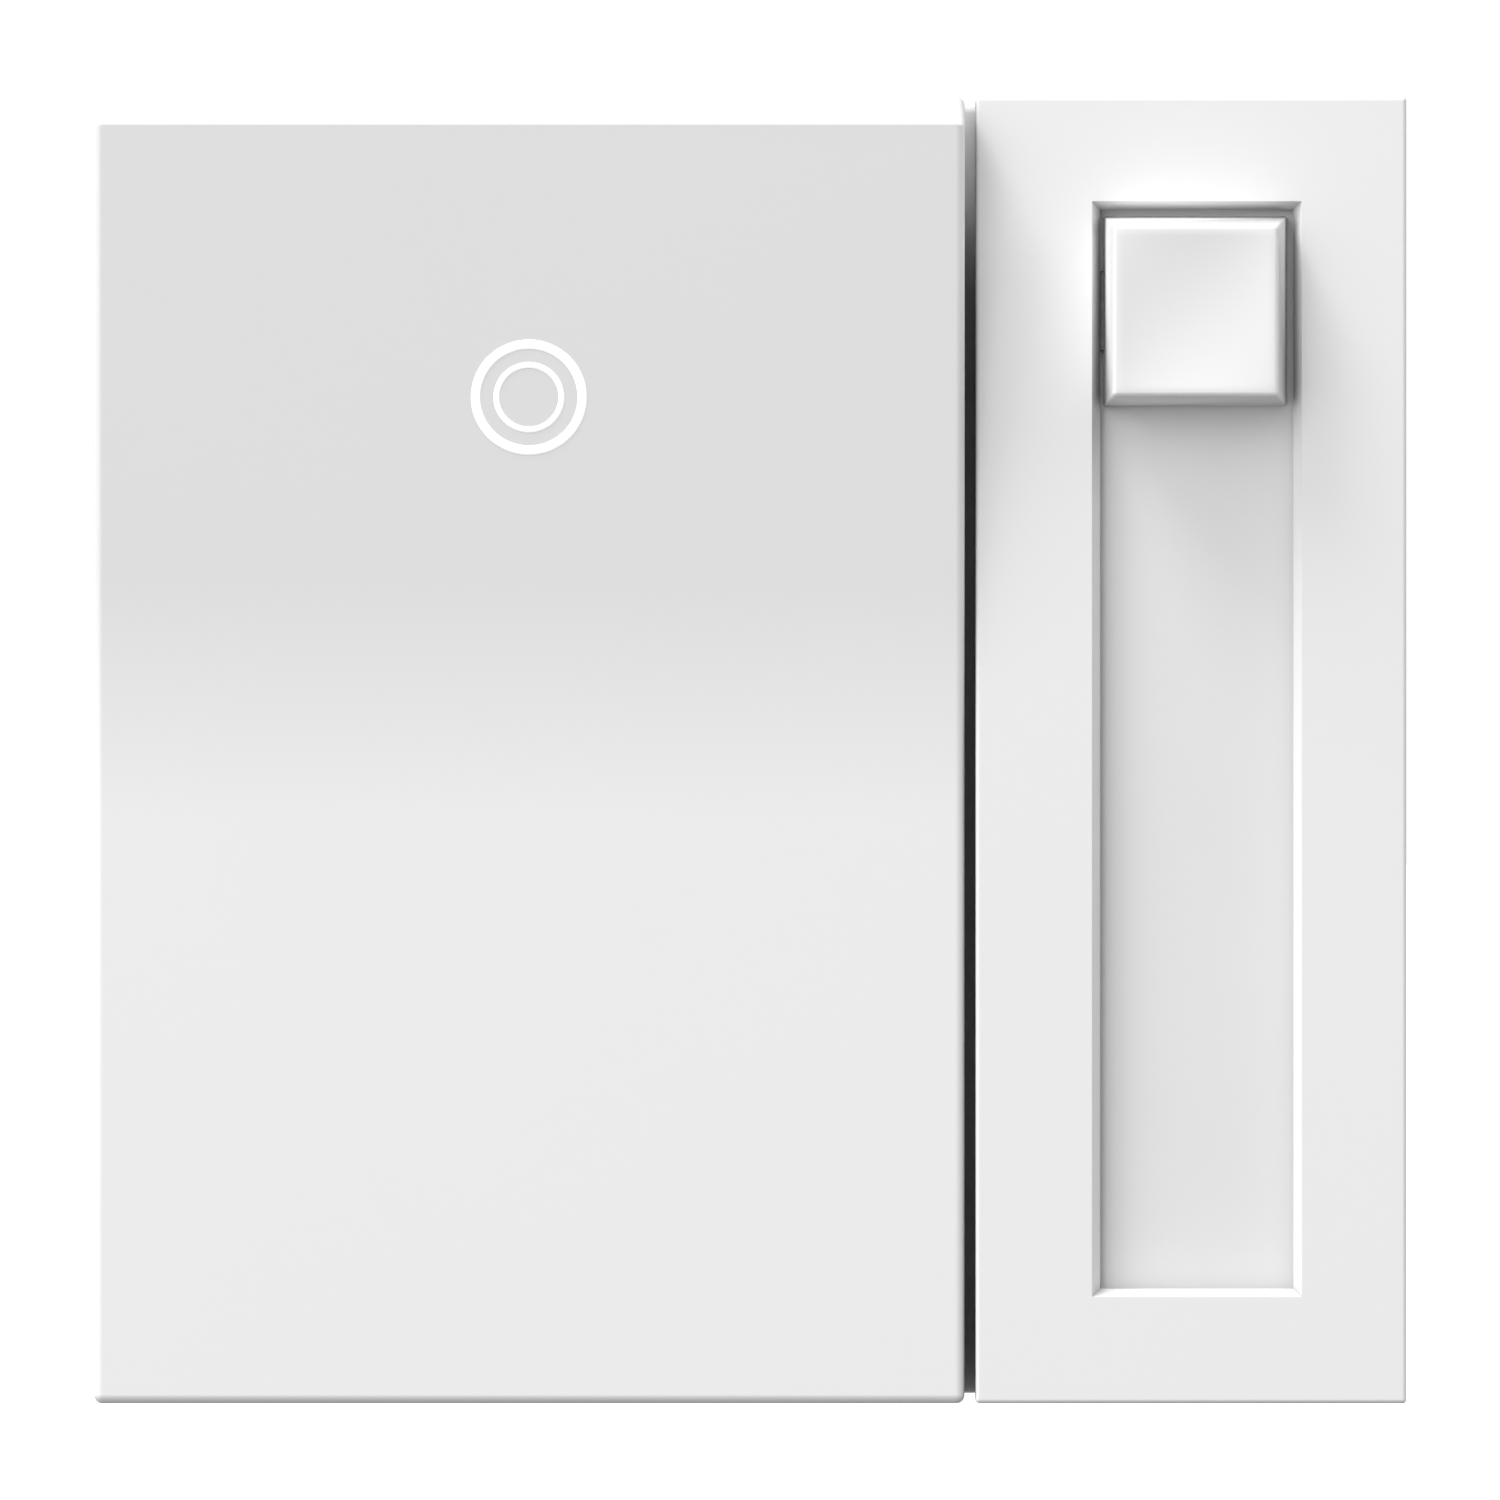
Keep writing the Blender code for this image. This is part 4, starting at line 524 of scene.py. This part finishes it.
def make_paddle():
    """A hollow wedge with rounded edges, crisper along the crest where the ramp ends."""
    outer = paddle_front(0.0, paddle_low.z, PADDLE_CREST_Z)
    outer += [(FACE_Y, paddle_high.z), (SKIRT_BACK_TOP_Y, paddle_high.z), (paddle_high.y, paddle_low.z)]
    paddle = prism("paddle_shell", outer, paddle_low.x, paddle_high.x)
    crest = Vector((PADDLE_X, paddle_low.y, PADDLE_CREST_Z))
    crisp = PADDLE_CREST_ROUND / PADDLE_ROUND

    def share_of_round(middle):
        return crisp if (middle - crest).length < CREST_NEAR else 1.0

    round_by_weight(paddle, PADDLE_ROUND, ROUND_STEPS, share_of_round)
    open_y = paddle_high.y + 2 * PAST
    inner_top = paddle_high.z - PADDLE_WALL
    inner = paddle_front(PADDLE_WALL, paddle_low.z + PADDLE_WALL, PADDLE_CREST_Z - PADDLE_WALL)
    inner.append((FACE_Y + PADDLE_WALL / 2, inner_top))
    inner.append((open_y, inner_top))
    inner.append((open_y, paddle_low.z + PADDLE_WALL))
    cut(paddle, prism("paddle_hollow", inner, paddle_low.x + PADDLE_WALL, paddle_high.x - PADDLE_WALL))
    return smooth(paddle)


def make_ring(name, radii):
    """A light ring let into the paddle's ramp, a hair proud of it, with softened rims."""
    inner, outer = radii
    shoulder = RING_EASE * 0.3
    profile = [
        (inner, -RING_ROOT),
        (inner, RING_PROUD - RING_EASE),
        (inner + shoulder, RING_PROUD - shoulder),
        (inner + RING_EASE, RING_PROUD),
        (outer - RING_EASE, RING_PROUD),
        (outer - shoulder, RING_PROUD - shoulder),
        (outer, RING_PROUD - RING_EASE),
        (outer, -RING_ROOT),
    ]
    tilt = Matrix.Rotation(math.radians(90) + math.atan(RAMP_SLOPE), 4, "X")
    place = Matrix.Translation((PADDLE_X, ramp_y(ICON_Z), ICON_Z)) @ tilt
    return smooth(turned(name, profile, RING_SIDES, place))


# --- slider column ----------------------------------------------------------------------------------
def make_bezel():
    """A hollow column with the slot through its face and a pocket behind the slot's lip for the strip."""
    bezel = box("slider_frame", bezel_low, bezel_high)
    round_edges(bezel, BEZEL_ROUND, ROUND_STEPS)
    inner_back = FACE_Y + BEZEL_WALL
    hollow = box(
        "bezel_hollow",
        (bezel_low.x + BEZEL_WALL, inner_back, bezel_low.z + BEZEL_WALL),
        (bezel_high.x - BEZEL_WALL, bezel_high.y + PAST, bezel_high.z - BEZEL_WALL),
    )
    cut(bezel, hollow)
    strip_pocket = box(
        "strip_pocket",
        (arm_low.x - POCKET_GAP, FACE_Y + LIP_THICKNESS, strip_low.z - POCKET_GAP),
        (strip_high.x + POCKET_GAP, inner_back + POCKET_GAP, strip_high.z + POCKET_GAP),
    )
    cut(bezel, strip_pocket)
    cut(bezel, slot_tool(inner_back + PAST))
    return smooth(bezel)


def slot_tool(back_y):
    """The slot's opening: straight sides with a mouth that flares towards the front."""
    flare = SLOT_CHAMFER * (1 + PAST / SLOT_CHAMFER_DEPTH)
    levels = ((FACE_Y - PAST, flare), (FACE_Y + SLOT_CHAMFER_DEPTH, 0.0), (back_y, 0.0))
    bm = bmesh.new()
    rings = []
    for y, out in levels:
        corners = (
            (SLOT_LEFT - out, SLOT_BOTTOM - out),
            (SLOT_RIGHT + out, SLOT_BOTTOM - out),
            (SLOT_RIGHT + out, SLOT_TOP + out),
            (SLOT_LEFT - out, SLOT_TOP + out),
        )
        rings.append([bm.verts.new((x, y, z)) for x, z in corners])
    bm.faces.new(rings[0])
    bm.faces.new(rings[-1])
    for first, second in zip(rings, rings[1:]):
        for i in range(4):
            j = (i + 1) % 4
            bm.faces.new((first[i], first[j], second[j], second[i]))
    bmesh.ops.recalc_face_normals(bm, faces=bm.faces)
    return new_object("slot_tool", bm)


def make_knob():
    """A square key whose sides lean in above the bezel, with a shallow dish for the fingertip."""
    centre = (knob_low + knob_high) / 2
    size = knob_high - knob_low
    bm = bmesh.new()
    bmesh.ops.create_cube(bm, size=1.0)
    bmesh.ops.scale(bm, vec=size, verts=bm.verts)
    everything = bm.verts[:] + bm.edges[:] + bm.faces[:]
    bmesh.ops.bisect_plane(bm, geom=everything, plane_co=(0, FACE_Y - centre.y, 0), plane_no=(0, 1, 0))
    front = min(bm.faces, key=lambda face: face.calc_center_median().y)
    for vert in front.verts:
        vert.co.x -= math.copysign(KNOB_TAPER, vert.co.x)
        vert.co.z -= math.copysign(KNOB_TAPER, vert.co.z)
    rim = list(front.edges)
    corners = [edge for edge in bm.edges if abs(edge.verts[0].co.y - edge.verts[1].co.y) > KNOB_EDGE]
    bmesh.ops.bevel(
        bm, geom=rim + corners, offset=KNOB_EDGE, segments=KNOB_EDGE_STEPS, affect="EDGES", profile=0.5
    )
    front = min(bm.faces, key=lambda face: face.calc_center_median().y)
    reach_x = max(vert.co.x for vert in front.verts)
    reach_z = max(vert.co.z for vert in front.verts)
    bmesh.ops.subdivide_edges(bm, edges=list(front.edges), cuts=KNOB_GRID, use_grid_fill=True)
    for vert in bm.verts:
        if abs(vert.co.y + size.y / 2) < TOUCHING:
            across = max(1 - (vert.co.x / reach_x) ** 2, 0)
            along = max(1 - (vert.co.z / reach_z) ** 2, 0)
            vert.co.y += KNOB_DISH * across * along
    bmesh.ops.translate(bm, vec=centre, verts=bm.verts)
    knob = new_object("knob_cap", bm)
    notch = box(
        "knob_notch",
        (knob_low.x - PAST, arm_low.y - ARM_PLAY, arm_low.z - ARM_PLAY),
        (knob_low.x + ARM_NOTCH, knob_high.y + PAST, arm_high.z + ARM_PLAY),
    )
    cut(knob, notch)
    return smooth(knob)


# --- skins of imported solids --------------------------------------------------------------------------
def skin(node, width=0.0):
    """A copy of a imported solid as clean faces, with its sharp edges rounded where a width is given."""
    bm = bmesh.new()
    bm.from_mesh(frame["nodes"][node].data)
    bmesh.ops.remove_doubles(bm, verts=bm.verts, dist=SAME_POINT)
    bmesh.ops.dissolve_limit(bm, angle_limit=SAME_PLANE, verts=bm.verts, edges=bm.edges)
    piece = new_object(f"{node}_skin", bm)
    if width:
        round_edges(piece, width, EASED_STEPS)
    return smooth(piece)


# --- the assembly ------------------------------------------------------------------------------------
record = frame["record"]
slots = {part["node"]: part["material_slot"] for part in record["subparts"]}
bodies = {node: body for body, nodes in record["behaviour"]["bodies"].items() for node in nodes}
materials = make_materials()
finishes = {node: materials[slot] for node, slot in slots.items()}
# The slider arm, plain steel in the record, gets the near-black steel: painted shade that keeps the gap
# beside the knob dark.
finishes["slider_arm"] = materials["gap_shade_steel"]


def show_instead(piece, node):
    """The piece takes the node's place, with its finish, on its body."""
    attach(piece, bodies[node])
    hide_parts(node)
    piece.data.materials.clear()
    piece.data.materials.append(finishes[node])


def squash_spring(spring):
    """Gives the spring a mesh of its own."""
    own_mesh(spring)


show_instead(make_paddle(), "tap_paddle")
show_instead(make_ring("outer_light_ring", OUTER_RING), "indicator_outer_ring")
show_instead(make_ring("inner_light_ring", INNER_RING), "indicator_inner_ring")
show_instead(make_bezel(), "slider_bezel")
show_instead(make_knob(), "slider_knob")

EASED.update({node: FASTENER_EASE for node in slots if node.startswith(("housing_screw", "terminal_"))})
for node, width in EASED.items():
    show_instead(skin(node, width), node)

for node in SPRINGS:
    spring = skin(node)
    show_instead(spring, node)
    squash_spring(spring)

for node, holder in frame["nodes"].items():
    for material_slot in holder.material_slots:
        material_slot.material = materials[slots[node]]


# --- studio -----------------------------------------------------------------------------------------
def make_floor():
    """A white paper floor that glows evenly and neither lights nor shades the object."""
    floor_z = cad_box[0].z
    bm = bmesh.new()
    corners = ((-1, -1), (1, -1), (1, 1), (-1, 1))
    bm.faces.new([bm.verts.new((x * FLOOR_HALF, y * FLOOR_HALF, floor_z)) for x, y in corners])
    floor = new_object("floor", bm)
    material, shader = new_material("floor_paper", 0.7, specular=0.2)
    clouds = noise(material, FLOOR_CLOUDS)
    colour = blend_colours(material, clouds, (0.93, 0.93, 0.93), (0.95, 0.95, 0.95))
    material.node_tree.links.new(colour, shader.inputs["Base Color"])
    shader.inputs["Emission Color"].default_value = (1.0, 1.0, 1.0, 1)
    shader.inputs["Emission Strength"].default_value = FLOOR_GLOW
    floor.data.materials.append(material)
    floor.visible_diffuse = False
    floor.visible_glossy = False
    floor.visible_shadow = False


def tent_level(tree):
    """The tent's brightness in each direction, as the sum of its lobes."""
    direction = tree.nodes.new("ShaderNodeTexCoord")
    level = None
    for axis, sharpness, strength in TENT.values():
        facing = tree.nodes.new("ShaderNodeVectorMath")
        facing.operation = "DOT_PRODUCT"
        facing.inputs[1].default_value = Vector(axis).normalized()
        tree.links.new(direction.outputs["Generated"], facing.inputs[0])
        front = tree.nodes.new("ShaderNodeMath")
        front.operation = "MAXIMUM"
        front.inputs[1].default_value = 0.0
        tree.links.new(facing.outputs["Value"], front.inputs[0])
        lobe = tree.nodes.new("ShaderNodeMath")
        lobe.operation = "POWER"
        lobe.inputs[1].default_value = sharpness
        tree.links.new(front.outputs["Value"], lobe.inputs[0])
        total = tree.nodes.new("ShaderNodeMath")
        total.operation = "MULTIPLY_ADD"
        total.inputs[1].default_value = strength
        total.inputs[2].default_value = 0.0
        tree.links.new(lobe.outputs["Value"], total.inputs[0])
        if level is not None:
            tree.links.new(level, total.inputs[2])
        level = total.outputs["Value"]
    return level


def make_world():
    """A studio tent of soft lobes of light from several sides, with an even white backdrop."""
    world = bpy.data.worlds.new("studio")
    bpy.context.scene.world = world
    world.use_nodes = True
    tree = world.node_tree
    tree.nodes.clear()
    output = tree.nodes.new("ShaderNodeOutputWorld")
    lighting = tree.nodes.new("ShaderNodeBackground")
    lighting.inputs["Color"].default_value = (1, 1, 1, 1)
    tree.links.new(tent_level(tree), lighting.inputs["Strength"])
    backdrop = tree.nodes.new("ShaderNodeBackground")
    backdrop.inputs["Color"].default_value = (1, 1, 1, 1)
    backdrop.inputs["Strength"].default_value = BACKDROP_LEVEL
    rays = tree.nodes.new("ShaderNodeLightPath")
    mix = tree.nodes.new("ShaderNodeMixShader")
    tree.links.new(rays.outputs["Is Camera Ray"], mix.inputs["Fac"])
    tree.links.new(lighting.outputs["Background"], mix.inputs[1])
    tree.links.new(backdrop.outputs["Background"], mix.inputs[2])
    tree.links.new(mix.outputs["Shader"], output.inputs["Surface"])


def softbox(name, direction, distance, size, power):
    """A square area light that shines on the face from a direction."""
    light = bpy.data.lights.new(name, "AREA")
    light.shape = "SQUARE"
    light.size = size
    light.energy = power
    holder = bpy.data.objects.new(name, light)
    towards = Vector(direction).normalized()
    holder.location = VIEW_CENTRE + towards * distance
    holder.rotation_euler = (-towards).to_track_quat("-Z", "Y").to_euler()
    holder.visible_camera = False
    bpy.context.scene.collection.objects.link(holder)


def make_camera():
    data = bpy.data.cameras.new("camera")
    data.type = "PERSP"
    data.sensor_width = SENSOR_MM
    data.lens = SENSOR_MM * CAMERA_DISTANCE / VIEW_WIDTH
    data.clip_start = 0.1
    data.clip_end = 100.0
    camera = bpy.data.objects.new("camera", data)
    camera.location = VIEW_CENTRE + Vector((0, -CAMERA_DISTANCE, 0))
    camera.rotation_euler = (math.radians(90), 0, 0)
    bpy.context.scene.collection.objects.link(camera)
    bpy.context.scene.camera = camera


make_floor()
make_world()
for name, settings in SOFTBOXES.items():
    softbox(name, *settings)
make_camera()
bpy.context.scene.view_settings.view_transform = "Standard"
